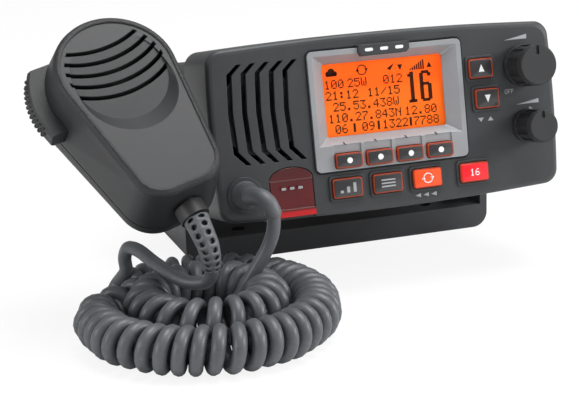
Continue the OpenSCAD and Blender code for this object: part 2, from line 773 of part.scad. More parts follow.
module key(x, z, w, h, proud) {
    translate([x, 0, z]) {
        slab(-proud, key_flange_y + eps) rounded(w, h, 1.2);
        slab(key_flange_y, key_flange_y + key_flange_t) rounded(w + 2 * key_flange, h + 2 * key_flange, 1.2);
        slab(key_flange_y + key_flange_t - eps, key_end_y) rounded(w - 3, h - 3, 1);
    }
}

// The soft keys sit in the display frame, whose back is the panel's.
module soft_key(i) color(dark_grey) in_radio()
    key(soft_x0 + i * soft_pitch, soft_z, soft_w, soft_h, lcd_proud + key_proud);
module soft_key_1() soft_key(0);
module soft_key_2() soft_key(1);
module soft_key_3() soft_key(2);
module soft_key_4() soft_key(3);
module row_key(i, tint) color(tint) in_radio() key(row_x[i], row_z, row_w, row_h, key_proud);
module row_key_1() row_key(0, dark_grey);
module row_key_2() row_key(1, dark_grey);
module row_key_3() row_key(2, orange);
module row_key_4() row_key(3, red);
module arrow_key(i) color(dark_grey) in_radio()
    key(arrow_at[i][0], arrow_at[i][1], arrow_w, arrow_h, key_proud);
module arrow_key_up() arrow_key(0);
module arrow_key_down() arrow_key(1);

module distress_cover() color([0.45, 0.05, 0.07, 0.8]) in_radio() difference() {
    union() {
        translate([cover_x, 0, 0]) slab(0, cover_t) cover_outline(0);
        translate([cover_x - cover_w / 2, -tab_proud, cover_z - cover_h])
            cube([cover_w, tab_proud + eps, tab_h]);
        along_x(cover_x - cover_w / 2, cover_x + cover_w / 2, cover_axis_y, cover_z, pin_r + 0.7);
    }
    along_x(cover_x - cover_w / 2 - 1, cover_x + cover_w / 2 + 1, cover_axis_y, cover_z, pin_r + fit_gap);
}

module distress_pin() color(metal) in_radio()
    along_x(cover_x - cover_w / 2 - 2.4, cover_x + cover_w / 2 + 2.4, cover_axis_y, cover_z, pin_r);

module distress_button() color(red) in_radio() translate([cover_x, 0, distress_z]) {
    slab(cover_t + run_gap + 0.2, board_y - 0.3 - key_travel) rounded(distress_w, distress_h, 1.6);
}

// ------------------------------------------------------------ rear housing

module housing_section(inset) {
    rounded(housing_w - 2 * inset, housing_h - 2 * inset, housing_corner - inset);
}

module rear_housing() color([0.2, 0.2, 0.21]) in_radio() difference() {
    union() {
        slab(flange_y, housing_y) face_outline(0.6);
        slab(housing_y - eps, radio_d) housing_section(0);
        for (i = [0:fin_count - 1]) let (x = (i - (fin_count - 1) / 2) * (housing_w - 20) / (fin_count - 1))
            if (abs(x - antenna_x) > antenna_r + 6 && abs(x - power_x) > power_r + 5
                && abs(x - accessory_x) > accessory_r + 5)
                translate([x - fin_t / 2, radio_d - eps, -housing_h / 2 + 3])
                    cube([fin_t, fin_h, housing_h - 6]);
        for (side = [-1, 1]) along_x(side > 0 ? housing_w / 2 - 10 : -housing_w / 2 - pivot_boss_h,
            side > 0 ? housing_w / 2 + pivot_boss_h : -housing_w / 2 + 10, pivot_d, 0, pivot_boss_r);
    }
    difference() {
        slab(flange_y - 1, radio_d - housing_t) housing_section(housing_t);
        for (side = [-1, 1]) along_x(side > 0 ? housing_w / 2 - 10 : -housing_w / 2,
            side > 0 ? housing_w / 2 : -housing_w / 2 + 10, pivot_d, 0, stud_r + 3);
        for (x = [-1, 1], y = [main_y0 + 6, main_y1 - 6]) translate([x * (main_w / 2 - 6), y, -housing_h / 2])
            cylinder(h = main_z + housing_h / 2, r = 3);
    }
    for (side = [-1, 1]) along_x(side > 0 ? housing_w / 2 - 8.4 : -housing_w / 2 - pivot_boss_h - 1,
        side > 0 ? housing_w / 2 + pivot_boss_h + 1 : -housing_w / 2 + 8.4, pivot_d, 0, stud_r + fit_gap);
    along_y(antenna_x, socket_z, radio_d - housing_t - 1, radio_d + 1, antenna_r + fit_gap);
    along_y(power_x, socket_z, radio_d - housing_t - 1, radio_d + 1, power_r + fit_gap);
    along_y(accessory_x, socket_z, radio_d - housing_t - 1, radio_d + 1, accessory_r + fit_gap);
    for (x = [-1, 1], z = [-1, 1]) along_y(x * boss_x, z * boss_z, flange_y - 1, housing_y + 1, screw_r + 0.3);
}

module housing_screws() color(metal) in_radio() for (x = [-1, 1], z = [-1, 1]) {
    along_y(x * boss_x, z * boss_z, skirt_d - 10, housing_y + eps, screw_r);
    along_y(x * boss_x, z * boss_z, housing_y, housing_y + 2, screw_head_r);
}

module main_board() color(board_green) in_radio()
    translate([-main_w / 2, main_y0, main_z]) cube([main_w, main_y1 - main_y0, board_t]);

// Capacitors, chips, the power amplifier and a filter can on the main board.
module board_parts() color([0.12, 0.12, 0.14]) in_radio() translate([parts_x, 0, main_z + board_t]) {
    for (i = [0:2]) translate([capacitor_r + i * capacitor_pitch, main_y0 + 14, 0])
        cylinder(h = capacitor_h, r = capacitor_r);
    for (i = [0:3]) translate([i * chip_pitch, chip_y, 0]) cube(chip);
    translate([0, main_y1 - amplifier[1] - 6, 0]) cube(amplifier);
    translate([amplifier[0] + 10, main_y1 - crystal[1] - 8, 0]) cube(crystal);
}

module rf_shield() color(metal) in_radio() translate([shield_x, main_y0 + 8, main_z + board_t]) difference() {
    cube(shield);
    translate([shield_t, shield_t, -1]) cube(shield + [-2 * shield_t, -2 * shield_t, 1 - shield_t]);
}

// Flat cable from the front board, back and down to the main board.
module ribbon_cable() color([0.75, 0.75, 0.7]) in_radio() translate([ribbon_x, 0, 0]) {
    back = main_y0 + ribbon_lift;
    translate([0, board_y + board_t, main_z + ribbon_lift])
        cube([ribbon_w, back - board_y - board_t, ribbon_t]);
    translate([0, back - ribbon_t, main_z + board_t])
        cube([ribbon_w, ribbon_t, ribbon_lift - board_t + ribbon_t]);
}

module antenna_socket() color(metal) in_radio() difference() {
    union() {
        along_y(antenna_x, socket_z, radio_d - housing_t - 4, radio_d + antenna_l, antenna_r);
        along_y(antenna_x, socket_z, radio_d, radio_d + 2.4, antenna_r + 3);
    }
    along_y(antenna_x, socket_z, radio_d + 2, radio_d + antenna_l + 1, antenna_r - 2);
    along_y(antenna_x, socket_z, radio_d - 2, radio_d + 3, 2);
}

module gland(x, r, length) {
    difference() {
        union() {
            along_y(x, socket_z, radio_d - housing_t - 3, radio_d + length, r);
            along_y(x, socket_z, radio_d, radio_d + 2.6, r + 2.4);
        }
        along_y(x, socket_z, radio_d - housing_t - 4, radio_d + length + 1, r * 0.5);
    }
}

module power_gland() color(dark_grey) in_radio() gland(power_x, power_r, power_l);
module accessory_gland() color(dark_grey) in_radio() gland(accessory_x, accessory_r, accessory_l);

// Moulded strain relief of the microphone's cord in the front panel.
module cord_gland() color(cord_grey) in_radio() {
    along_y(gland_x, gland_z, -gland_l, plate_t, boot_r);
    translate([gland_x, -0.8, gland_z]) rotate([90, 0, 0])
        cylinder(h = gland_l - 2, r1 = gland_r, r2 = boot_r + 0.2);
    along_y(gland_x, gland_z, -1, plate_t, boot_r + 1.2);
    along_y(gland_x, gland_z, plate_t - eps, plate_t + 4, cord_d / 2);
    for (i = [0:2]) let (y = -gland_l + 0.4 + i * gland_rib_pitch)
        along_y(gland_x, gland_z, y, y + 1, boot_r + gland_rib * (1 + i * 0.5));
}

// -------------------------------------------------------------- microphone

module mic_slab(y0, y1, head_inset, tail_inset) {
    along_y(0, head_z, y0, y1, head_r - head_inset);
    for (x = [-1, 1]) along_y(x * (tail_w - tail_r), tail_r, y0, y1, tail_r - tail_inset);
}

module mic_front_solid() {
    hull() {
        mic_slab(front_end - 1, front_end, 0, 0);
        for (a = [0:22.5:90]) let (round_in = face_round * (1 - cos(a)))
            mic_slab(-mic_front_d + mic_edge_d * (1 - sin(a)), -mic_front_d + mic_edge_d + eps,
                head_draft + round_in, tail_draft + round_in);
    }
}

module mic_panel_outline() {
    hull() {
        translate([0, head_z - 0.8]) circle(head_r - head_draft - face_round - panel_rim);
        for (x = [-1, 1]) translate([x * (tail_w - tail_r), tail_r])
            circle(tail_r - tail_draft - face_round - panel_rim);
    }
}

// The face sinks from the head's end to a crescent step above the middle of the panel.
module mic_recess() {
    hull() {
        for (at = [[dish_z, dish_r], [recess_z, recess_r]])
            along_y(0, at[0], -mic_front_d - 1, -mic_front_d + eps, at[1]);
        translate([0, -mic_front_d, dish_z + dish_r]) rotate([dish_tilt, 0, 0])
            along_y(0, -dish_r, -1, 0, dish_r);
    }
}

module mic_front_cavity() {
    hull() {
        mic_slab(front_end, front_end + 1, mic_t, mic_t);
        mic_slab(-mic_front_d + mic_face_t, front_end, head_draft + mic_t, tail_draft + mic_t);
    }
}

module mic_rear_solid(shrink) {
    hull() for (a = [0:22.5:90]) let (turned = 1 - cos(a))
        mic_slab(rear_end, rear_end + (mic_rear_d - shrink - rear_end) * (0.35 + 0.65 * sin(a)),
            back_inset * turned + shrink, back_tail_inset * turned + shrink);
}

module louvres() {
    for (i = [0:louvre_count - 1]) slab(-mic_front_d - 1, -mic_front_d + mic_face_t + 1) intersection() {
        translate([0, louvre_z + louvre_r - i * louvre_pitch]) difference() {
            circle(louvre_r + louvre_w / 2, $fn = 96);
            circle(louvre_r - louvre_w / 2, $fn = 96);
        }
        translate([0, head_z]) circle(louvre_edge);
        translate([-louvre_edge, recess_low]) square([2 * louvre_edge, mic_l]);
    }
}

ptt_box_x = head_r + ptt_proud;

module ptt_window(grow) {
    translate([-ptt_box_x - 2, ptt_y - ptt_w / 2 - grow, ptt_z - ptt_l / 2 - grow])
        cube([22, ptt_w + 2 * grow, ptt_l + 2 * grow]);
}

module collar_hole() {
    translate([0, 0, -1]) cylinder(h = mic_t + 4, r = collar_r - 2 + fit_gap);
}

module mic_front_shell() color(body_grey) in_mic() difference() {
    mic_front_solid();
    difference() {
        mic_front_cavity();
        for (at = mic_screw_at) along_y(at[0], at[1], -mic_front_d, mic_board_y, mic_boss_r);
    }
    slab(-mic_front_d - 1, -mic_front_d + panel_sink) mic_panel_outline();
    mic_recess();
    for (at = mic_screw_at) along_y(at[0], at[1], -mic_front_d + mic_face_t, 1, screw_r + fit_gap);
    louvres();
    ptt_window(key_gap);
    collar_hole();
}

module mic_rear_shell() color([0.22, 0.22, 0.23]) in_mic() difference() {
    union() {
        difference() {
            mic_rear_solid(0);
            mic_rear_solid(mic_t);
        }
        for (at = mic_screw_at) along_y(at[0], at[1], mic_board_y + board_t, mic_rear_d - 1, mic_boss_r);
    }
    ptt_window(key_gap);
    collar_hole();
    for (at = mic_screw_at) {
        along_y(at[0], at[1], -1, mic_rear_d + 1, screw_r + 0.1);
        along_y(at[0], at[1], mic_rear_d - 3, mic_rear_d + 1, screw_head_r + 0.2);
    }
}

module mic_seal() color(dark_grey) in_mic() difference() {
    hull() mic_slab(front_end, rear_end, seal_sink, seal_sink);
    hull() mic_slab(front_end - 1, rear_end + 1, mic_t - 0.2, mic_t - 0.2);
    ptt_window(key_gap);
    collar_hole();
}

module mic_screws() color(metal) in_mic() for (at = mic_screw_at) {
    along_y(at[0], at[1], -7, mic_rear_d - 3 + eps, screw_r);
    along_y(at[0], at[1], mic_rear_d - 3, mic_rear_d - 1, screw_head_r);
}

// The board has a tab under the talk switch.
module mic_board() color(board_green) in_mic() difference() {
    union() {
        translate([-mic_board_w / 2, mic_board_y, mic_board_z]) cube([mic_board_w, board_t, mic_board_l]);
        translate([switch_x + 2, mic_board_y, ptt_z - 8]) cube([-switch_x - mic_board_w / 2, board_t, 16]);
    }
    for (at = mic_screw_at) along_y(at[0], at[1], -3, 3, screw_r + 0.5);
}

module mic_capsule() color(metal) in_mic()
    along_y(0, dish_z, -mic_front_d + mic_face_t + 0.3, mic_board_y, 4.8);

module talk_key() color(dark_grey) in_mic() intersection() {
    hull() {
        mic_slab(ptt_y - ptt_w / 2 + ptt_edge, ptt_y + ptt_w / 2 - ptt_edge, -ptt_proud, -ptt_proud);
        mic_slab(ptt_y - ptt_w / 2, ptt_y + ptt_w / 2, ptt_edge - ptt_proud, ptt_edge - ptt_proud);
    }
    slab(ptt_y - ptt_w / 2, ptt_y + ptt_w / 2) translate([0, ptt_z]) polygon([[talk_key_x, -ptt_l / 2],
        [talk_key_x, ptt_l / 2], [ptt_taper - ptt_box_x, ptt_l / 2],
        [-ptt_box_x, ptt_l / 2 - ptt_taper], [-ptt_box_x, -ptt_l / 2]]);
}

module talk_switch() color([0.1, 0.1, 0.1]) in_mic()
    translate([switch_x, mic_board_y + board_t, ptt_z - 4]) cube([6, 6, 8]);

module mic_collar() color(cord_grey) in_mic() {
    translate([0, 0, -collar_l]) cylinder(h = collar_l - 0.2, r = collar_r);
    translate([0, 0, -1]) cylinder(h = mic_t + 4, r = collar_r - 2);
}

module hang_stud() color(metal) in_mic() {
    along_y(0, head_z - 8, mic_rear_d, mic_rear_d + stud_neck_l, stud_neck_r);
    along_y(0, head_z - 8, mic_rear_d + stud_neck_l - eps, mic_rear_d + stud_neck_l + 2.5, stud_cap_r);
}

module mic_boot() color([0.5, 0.51, 0.53]) sweep(boot_route, boot_radii, 12);

// -------------------------------------------------------------------- cord

module gland_lead() color(cord_grey) sweep(gland_route, [cord_d / 2], cord_sides);
module mic_lead() color(cord_grey) sweep(mic_route, [cord_d / 2], cord_sides);
module coil_outer() color(cord_grey) translate([ring_at[0], ring_at[1], ring_z])
    rotate_extrude($fn = 96) translate([ring_r, 0]) circle(curl_d / 2, $fn = 48);
module coil_inner() color(cord_grey) translate([ring_at[0], ring_at[1], ring_z + inner_lift])
    rotate_extrude($fn = 96) translate([inner_r, 0]) circle(curl_d / 2, $fn = 48);

bracket();
clamp_knob_left();
clamp_knob_right();
front_panel();
panel_gasket();
display_frame();
display_window();
display_module();
speaker_basket();
speaker_cone();
speaker_magnet();
front_board();
keypad_sheet();
volume_control();
squelch_control();
volume_shaft();
squelch_shaft();
volume_knob();
squelch_knob();
soft_key_1();
soft_key_2();
soft_key_3();
soft_key_4();
row_key_1();
row_key_2();
row_key_3();
row_key_4();
arrow_key_up();
arrow_key_down();
distress_cover();
distress_pin();
distress_button();
rear_housing();
housing_screws();
main_board();
board_parts();
rf_shield();
ribbon_cable();
antenna_socket();
power_gland();
accessory_gland();
cord_gland();
mic_front_shell();
mic_rear_shell();
mic_seal();
mic_screws();
mic_board();
mic_capsule();
talk_key();
talk_switch();
mic_collar();
hang_stud();
mic_boot();
gland_lead();
coil_outer();
coil_inner();
mic_lead();
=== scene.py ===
"""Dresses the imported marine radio: cords, finishes, keys, display, microphone, stage and camera."""

import logging
import math
from dataclasses import dataclass, field
from enum import Enum

import bmesh
import bpy
from mathutils import Matrix, Vector


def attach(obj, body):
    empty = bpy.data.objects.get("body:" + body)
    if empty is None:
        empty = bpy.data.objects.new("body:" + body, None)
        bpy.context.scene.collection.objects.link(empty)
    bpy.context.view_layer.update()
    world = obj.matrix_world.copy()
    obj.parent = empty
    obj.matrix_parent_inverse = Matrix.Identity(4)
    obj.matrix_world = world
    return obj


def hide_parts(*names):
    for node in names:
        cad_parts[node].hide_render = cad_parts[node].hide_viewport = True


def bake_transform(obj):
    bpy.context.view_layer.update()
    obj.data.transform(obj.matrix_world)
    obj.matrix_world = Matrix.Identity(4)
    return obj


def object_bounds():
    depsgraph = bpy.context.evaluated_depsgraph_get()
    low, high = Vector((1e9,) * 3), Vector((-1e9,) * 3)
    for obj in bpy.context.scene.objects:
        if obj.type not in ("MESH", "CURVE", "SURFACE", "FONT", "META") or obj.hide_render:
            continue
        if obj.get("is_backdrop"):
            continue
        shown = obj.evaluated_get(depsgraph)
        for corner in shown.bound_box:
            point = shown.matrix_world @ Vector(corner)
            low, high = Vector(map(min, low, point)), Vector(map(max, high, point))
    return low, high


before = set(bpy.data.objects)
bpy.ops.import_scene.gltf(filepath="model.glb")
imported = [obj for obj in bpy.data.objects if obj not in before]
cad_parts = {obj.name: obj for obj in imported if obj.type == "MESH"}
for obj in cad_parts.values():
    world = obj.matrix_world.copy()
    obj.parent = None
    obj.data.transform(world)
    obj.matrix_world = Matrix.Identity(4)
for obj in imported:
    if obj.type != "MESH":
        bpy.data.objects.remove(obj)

LOG = logging.getLogger("radio")
MM = 0.001
Colour = tuple[int, int, int]
Spot = tuple[float, float]
Place = tuple[float, float, float]

Socket = bpy.types.NodeSocket

PIVOT_HEIGHT = 0.063
PIVOT_BACK = 0.1
RADIO_LEAN = -10.0
MIC_SPOT = (-0.107, -0.133, 0.061)
MIC_TURN = (-45.4, -12.1, 12.2)

RADIO = (
    Matrix.Translation((0, 0, PIVOT_HEIGHT))
    @ Matrix.Rotation(math.radians(RADIO_LEAN), 4, "X")
    @ Matrix.Translation((0, -PIVOT_BACK, 0))
)
MIC = (
    Matrix.Translation(MIC_SPOT)
    @ Matrix.Rotation(math.radians(MIC_TURN[2]), 4, "Z")
    @ Matrix.Rotation(math.radians(MIC_TURN[1]), 4, "Y")
    @ Matrix.Rotation(math.radians(MIC_TURN[0]), 4, "X")
)


class Body(Enum):
    """The moving bodies that new pieces ride on."""

    BRACKET = "bracket"
    RADIO = "radio"
    MICROPHONE = "microphone"
    TALK = "talk"
    COVER = "cover"


class Face(Enum):
    """Local frames: their origin and axes in the world."""

    WORLD = 0
    RADIO = 1
    MIC = 2

    @property
    def matrix(self) -> Matrix:
        """The frame's place in the world."""
        return {Face.WORLD: Matrix.Identity(4), Face.RADIO: RADIO, Face.MIC: MIC}[self]


# Dot-matrix characters: seven rows each from the top, five dots wide, as hexadecimal numbers.
GLYPHS = {
    "0": "0E 11 13 15 19 11 0E", "1": "04 0C 04 04 04 04 0E", "2": "0E 11 01 02 04 08 1F",
    "3": "1F 02 04 02 01 11 0E", "4": "02 06 0A 12 1F 02 02", "5": "1F 10 1E 01 01 11 0E",
    "6": "06 08 10 1E 11 11 0E", "7": "1F 01 02 04 08 08 08", "8": "0E 11 11 0E 11 11 0E",
    "9": "0E 11 11 0F 01 02 0C", ":": "00 0C 0C 00 0C 0C 00", ".": "00 00 00 00 00 0C 0C",
    "/": "00 01 02 04 08 10 00", "|": "0C 0C 0C 0C 0C 0C 0C", "W": "11 11 11 15 15 15 0A",
    "N": "11 19 15 13 11 11 11", "O": "0E 11 11 11 11 11 0E", "F": "1F 10 10 1E 10 10 10",
}


# ------------------------------------------------------------------ finishes


def linear(colour: Colour) -> tuple[float, float, float, float]:
    """Turns a colour of 0 to 255 into the linear values that shaders take.

    Args:
        colour: Red, green and blue as a screen shows them.

    Returns:
        Linear red, green, blue and an alpha of 1.
    """
    parts = [c / 255 for c in colour]
    return tuple(p / 12.92 if p <= 0.04045 else ((p + 0.055) / 1.055) ** 2.4 for p in parts) + (1.0,)


class Nodes:
    """A shader tree being put together."""

    def __init__(self, name: str) -> None:
        """Starts a material with a Principled shader.

        Args:
            name: The material's name.
        """
        self.material = bpy.data.materials.new(name)
        self.material.use_nodes = True
        self.tree = self.material.node_tree
        self.shader = self.tree.nodes["Principled BSDF"]
        self.place = self.add("ShaderNodeTexCoord").outputs["Object"]

    def add(self, kind: str, **settings: object) -> bpy.types.Node:
        """Adds a node.

        Args:
            kind: The node's type name.
            **settings: Attributes of the node, or values of its inputs.

        Returns:
            The new node.
        """
        node = self.tree.nodes.new(kind)
        for key, value in settings.items():
            if hasattr(node, key):
                setattr(node, key, value)
            else:
                node.inputs[key.replace("_", " ")].default_value = value
        return node

    def link(self, source: Socket, target: Socket) -> None:
        """Joins two sockets."""
        self.tree.links.new(source, target)

    def noise(self, size: float, detail: float = 3.0) -> Socket:
        """A noise of a given grain.

        Args:
            size: Size of the grain in metres.
            detail: Octaves of finer grain.

        Returns:
            The noise's value socket.
        """
        node = self.add("ShaderNodeTexNoise", Scale=1 / size, Detail=detail)
        self.link(self.place, node.inputs["Vector"])
        return node.outputs["Fac"]

    def spread(
        self, value: Socket, low: float, high: float, start: float = 0.3, end: float = 0.7
    ) -> Socket:
        """Maps a value from one range to another.

        Args:
            value: The socket to map.
            low: Result at the range's start.
            high: Result at the range's end.
            start: Where the range starts.
            end: Where the range ends.

        Returns:
            The mapped value's socket.
        """
        node = self.add("ShaderNodeMapRange")
        for key, number in zip(("From Min", "From Max", "To Min", "To Max"), (start, end, low, high)):
            node.inputs[key].default_value = number
        self.link(value, node.inputs["Value"])
        return node.outputs["Result"]

    def mix(self, share: Socket, first: object, second: object) -> Socket:
        """Mixes two colours.

        Args:
            share: Share of the second colour.
            first: A linear colour or a socket.
            second: A linear colour or a socket.

        Returns:
            The mixed colour's socket.
        """
        node = self.add("ShaderNodeMix", data_type="RGBA")
        self.link(share, node.inputs[0])
        for number, value in ((6, first), (7, second)):
            if isinstance(value, Socket):
                self.link(value, node.inputs[number])
            else:
                node.inputs[number].default_value = value
        return node.outputs[2]

    def bump(self, height: Socket, depth: float, strength: float = 1.0) -> None:
        """Adds relief to the shader, on top of any relief that it has.

        Args:
            height: Height of the relief, from 0 to 1.
            depth: Depth of the relief in metres.
            strength: Strength of the effect.
        """
        node = self.add("ShaderNodeBump", Strength=strength, Distance=depth)
        self.link(height, node.inputs["Height"])
        before = self.shader.inputs["Normal"].links
        if before:
            self.link(before[0].from_socket, node.inputs["Normal"])
        self.link(node.outputs["Normal"], self.shader.inputs["Normal"])

    def local(self, face: Face) -> Socket:
        """Object coordinates turned into a local frame, in metres.

        Args:
            face: The local frame.

        Returns:
            The coordinates' socket.
        """
        inverse = face.matrix.inverted()
        node = self.add("ShaderNodeMapping", vector_type="POINT")
        node.inputs["Location"].default_value = inverse.to_translation()
        node.inputs["Rotation"].default_value = inverse.to_euler("XYZ")
        self.link(self.place, node.inputs["Vector"])
        return node.outputs["Vector"]

    def axes(self, place: Socket) -> list[Socket]:
        """Splits coordinates into X, Y and Z."""
        node = self.add("ShaderNodeSeparateXYZ")
        self.link(place, node.inputs[0])
        return list(node.outputs)

    def sum(self, kind: str, first: object, second: object = 0.0) -> Socket:
        """One step of arithmetic.

        Args:
            kind: The Math node's operation.
            first: A number or a socket.
            second: A number or a socket.

        Returns:
            The result's socket.
        """
        node = self.add("ShaderNodeMath", operation=kind)
        for number, value in enumerate((first, second)):
            if isinstance(value, Socket):
                self.link(value, node.inputs[number])
            else:
                node.inputs[number].default_value = value
        return node.outputs[0]


WANDER = 12.0
UNEVEN = 0.05


@dataclass(frozen=True)
class Finish:
    """Moulded plastic, paint or metal: a colour that wanders a little, uneven gloss and a fine grain.

    Attributes:
        name: The material's name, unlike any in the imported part.
        colour: Its colour, 0 to 255.
        roughness: Its mean roughness.
        metallic: Share of metal.
        grain: Size of the grain in millimetres.
        relief: Depth of the grain in millimetres.
        mottle: How far the colour wanders, as a share.
        specular: Level of its reflections.
        coat: Weight of a clear coat.
        glow: Strength of its own light.
        alpha: How opaque it is.
        edge: How far its edges look worn, in millimetres.
    """

    name: str
    colour: Colour
    roughness: float = 0.5
    metallic: float = 0.0
    grain: float = 0.5
    relief: float = 0.02
    mottle: float = 0.08
    specular: float = 0.5
    coat: float = 0.0
    glow: float = 0.0
    alpha: float = 1.0
    edge: float = 0.35

    def material(self) -> bpy.types.Material:
        """Builds the material, or returns the one built before."""
        return bpy.data.materials.get(self.name) or self.build()

    def build(self) -> bpy.types.Material:
        """Builds the material's nodes.

        Returns:
            The new material.
        """
        nodes = Nodes(self.name)
        shader = nodes.shader.inputs
        shader["Metallic"].default_value = self.metallic
        shader["Specular IOR Level"].default_value = self.specular
        shader["Coat Weight"].default_value = self.coat
        shader["Alpha"].default_value = self.alpha
        wander = nodes.noise(WANDER * MM)
        base = linear(self.colour)
        dark, light = (tuple(c * (1 + side * self.mottle) for c in base[:3]) + (1.0,) for side in (-1, 1))
        tint = nodes.mix(nodes.spread(wander, 0, 1), dark, light)
        nodes.link(self.paint(nodes, tint), shader["Base Color"])
        worn = nodes.add("ShaderNodeBevel", Radius=self.edge * MM)
        nodes.link(worn.outputs["Normal"], shader["Normal"])
        fine = nodes.noise(self.grain * MM)
        gloss = nodes.spread(fine, self.roughness - UNEVEN, self.roughness + UNEVEN)
        nodes.link(gloss, shader["Roughness"])
        if self.relief:
            nodes.bump(fine, self.relief * MM)
        if self.glow:
            shader["Emission Color"].default_value = base
            shader["Emission Strength"].default_value = self.glow
        self.extras(nodes)
        return nodes.material

    def paint(self, nodes: Nodes, tint: Socket) -> Socket:
        """The base colour, for finishes that paint over it."""
        return tint

    def extras(self, nodes: Nodes) -> None:
        """More nodes, for finishes that have them."""


@dataclass(frozen=True)
class CoverRed(Finish):
    """Smoked red cover: painted shade darkens its upper part, and a painted highlight brightens the lip that
    a finger lifts.
    """

    # top is the painted shade colour of the upper part; the next colour is the painted highlight along the
    # lower lip, and shade gives the heights over which the painted shade grows.
    top: Colour = (74, 22, 24)
    highlight_band: Colour = (190, 18, 24)
    highlight_band_top: float = -36.5
    shade: tuple[float, float] = (-30.0, -17.0)

    def paint(self, nodes: Nodes, tint: Socket) -> Socket:
        """Paints shade over the upper part and a bright highlight strip over the lower edge."""
        height = nodes.axes(nodes.local(Face.RADIO))[2]
        # Painted shade: darker towards the top of the cover.
        top = nodes.spread(height, 0, 1, self.shade[0] * MM, self.shade[1] * MM)
        shaded = nodes.mix(top, tint, linear(self.top))
        # Painted highlight: a bright strip along the lower lip.
        lip = nodes.spread(height, 1, 0, (self.highlight_band_top - 0.5) * MM, (self.highlight_band_top + 0.5) * MM)
        return nodes.mix(lip, shaded, linear(self.highlight_band))


@dataclass(frozen=True)
class MicFace(Finish):
    """Front of the microphone: smooth panel inside, coarse grain on the rim around it.

    Attributes:
        flank: Half width of the panel at the microphone's foot, and how fast it grows with height.
        head: Height of the middle of the panel's round head, and its radius.
        tail: Height of the middles of its lower corners, half their distance, and their radius.
        front: Depths between which the grain fades towards the sides.
        fade: Width over which the grain starts at the panel's edge.
        coarse: Size and depth of the rim's grain.
    """

    flank: Spot = (16.1, 0.1315)
    head: Spot = (65.7, 24.7)
    tail: Place = (15.5, 7.2, 11.0)
    front: Spot = (-12.5, -9.5)
    fade: float = 0.6
    coarse: Spot = (0.9, 0.3)

    def extras(self, nodes: Nodes) -> None:
        """Adds the rim's coarse grain outside the panel's outline."""
        x, y, z = nodes.axes(nodes.local(Face.MIC))
        side = nodes.sum("ABSOLUTE", x)
        half = nodes.sum("ADD", nodes.sum("MULTIPLY", z, self.flank[1]), self.flank[0] * MM)
        flank = nodes.sum("SUBTRACT", side, half)
        above = nodes.sum("MAXIMUM", nodes.sum("SUBTRACT", z, self.head[0] * MM), 0.0)
        head = nodes.sum("SUBTRACT", self.reach(nodes, x, above), self.head[1] * MM)
        foot, apart, radius = (number * MM for number in self.tail)
        below = nodes.sum("MAXIMUM", nodes.sum("SUBTRACT", foot, z), 0.0)
        past = nodes.sum("MAXIMUM", nodes.sum("SUBTRACT", side, apart), 0.0)
        over = nodes.sum("ADD", nodes.sum("MAXIMUM", nodes.sum("SUBTRACT", z, foot), 0.0), radius)
        tail = nodes.sum("SUBTRACT", self.reach(nodes, past, below), over)
        edge = nodes.sum("MAXIMUM", nodes.sum("MAXIMUM", flank, head), tail)
        front = nodes.spread(y, 1, 0, self.front[0] * MM, self.front[1] * MM)
        rim = nodes.sum("MULTIPLY", nodes.spread(edge, 0, 1, 0.0, self.fade * MM), front)
        coarse = nodes.sum("MULTIPLY", nodes.noise(self.coarse[0] * MM, 2.0), rim)
        nodes.bump(coarse, self.coarse[1] * MM)

    @staticmethod
    def reach(nodes: Nodes, first: Socket, second: Socket) -> Socket:
        """Length of the line whose sides are given."""
        squares = (nodes.sum("MULTIPLY", first, first), nodes.sum("MULTIPLY", second, second))
        return nodes.sum("SQRT", nodes.sum("ADD", *squares))


@dataclass(frozen=True)
class Lit(Finish):
    """Backlit display: a little deeper in colour towards its sides.

    Attributes:
        deep: The colour that it goes towards.
        start: How far from its middle the change starts, in millimetres.
        end: How far from its middle the change ends.
        least: Share of the plain colour that is left there.
    """

    deep: Colour = (205, 84, 26)
    start: float = 12.0
    end: float = 32.0
    least: float = 0.86

    def extras(self, nodes: Nodes) -> None:
        """Lights the display."""
        across = nodes.axes(nodes.local(Face.RADIO))[0]
        side = nodes.sum("ABSOLUTE", across)
        plain = nodes.spread(side, 1.0, self.least, self.start * MM, self.end * MM)
        light = nodes.mix(plain, linear(self.deep), linear(self.colour))
        nodes.link(light, nodes.shader.inputs["Emission Color"])


@dataclass(frozen=True)
class Jacket(Finish):
    """Cord jacket: satin rubber with faint paler scuffs."""

    scuffed: Colour = (108, 110, 113)

    def paint(self, nodes: Nodes, tint: Socket) -> Socket:
        """Adds paler scuffs."""
        scuff = nodes.spread(nodes.noise(3.0 * MM, 6.0), 0, 0.35, 0.58, 0.72)
        return nodes.mix(scuff, tint, linear(self.scuffed))


BODY = Finish(
    "body_charcoal", (54, 56, 58), roughness=0.46, grain=0.45, relief=0.012, specular=0.4, edge=0.5,
)
HOUSING = Finish("housing_black", (44, 44, 46), roughness=0.55, grain=0.7, relief=0.03)
BRACKET = Finish("bracket_black", (52, 53, 56), roughness=0.5, grain=0.5, relief=0.02)
KNOB = Finish("knob_black", (34, 35, 37), roughness=0.52, grain=0.4, relief=0.02)
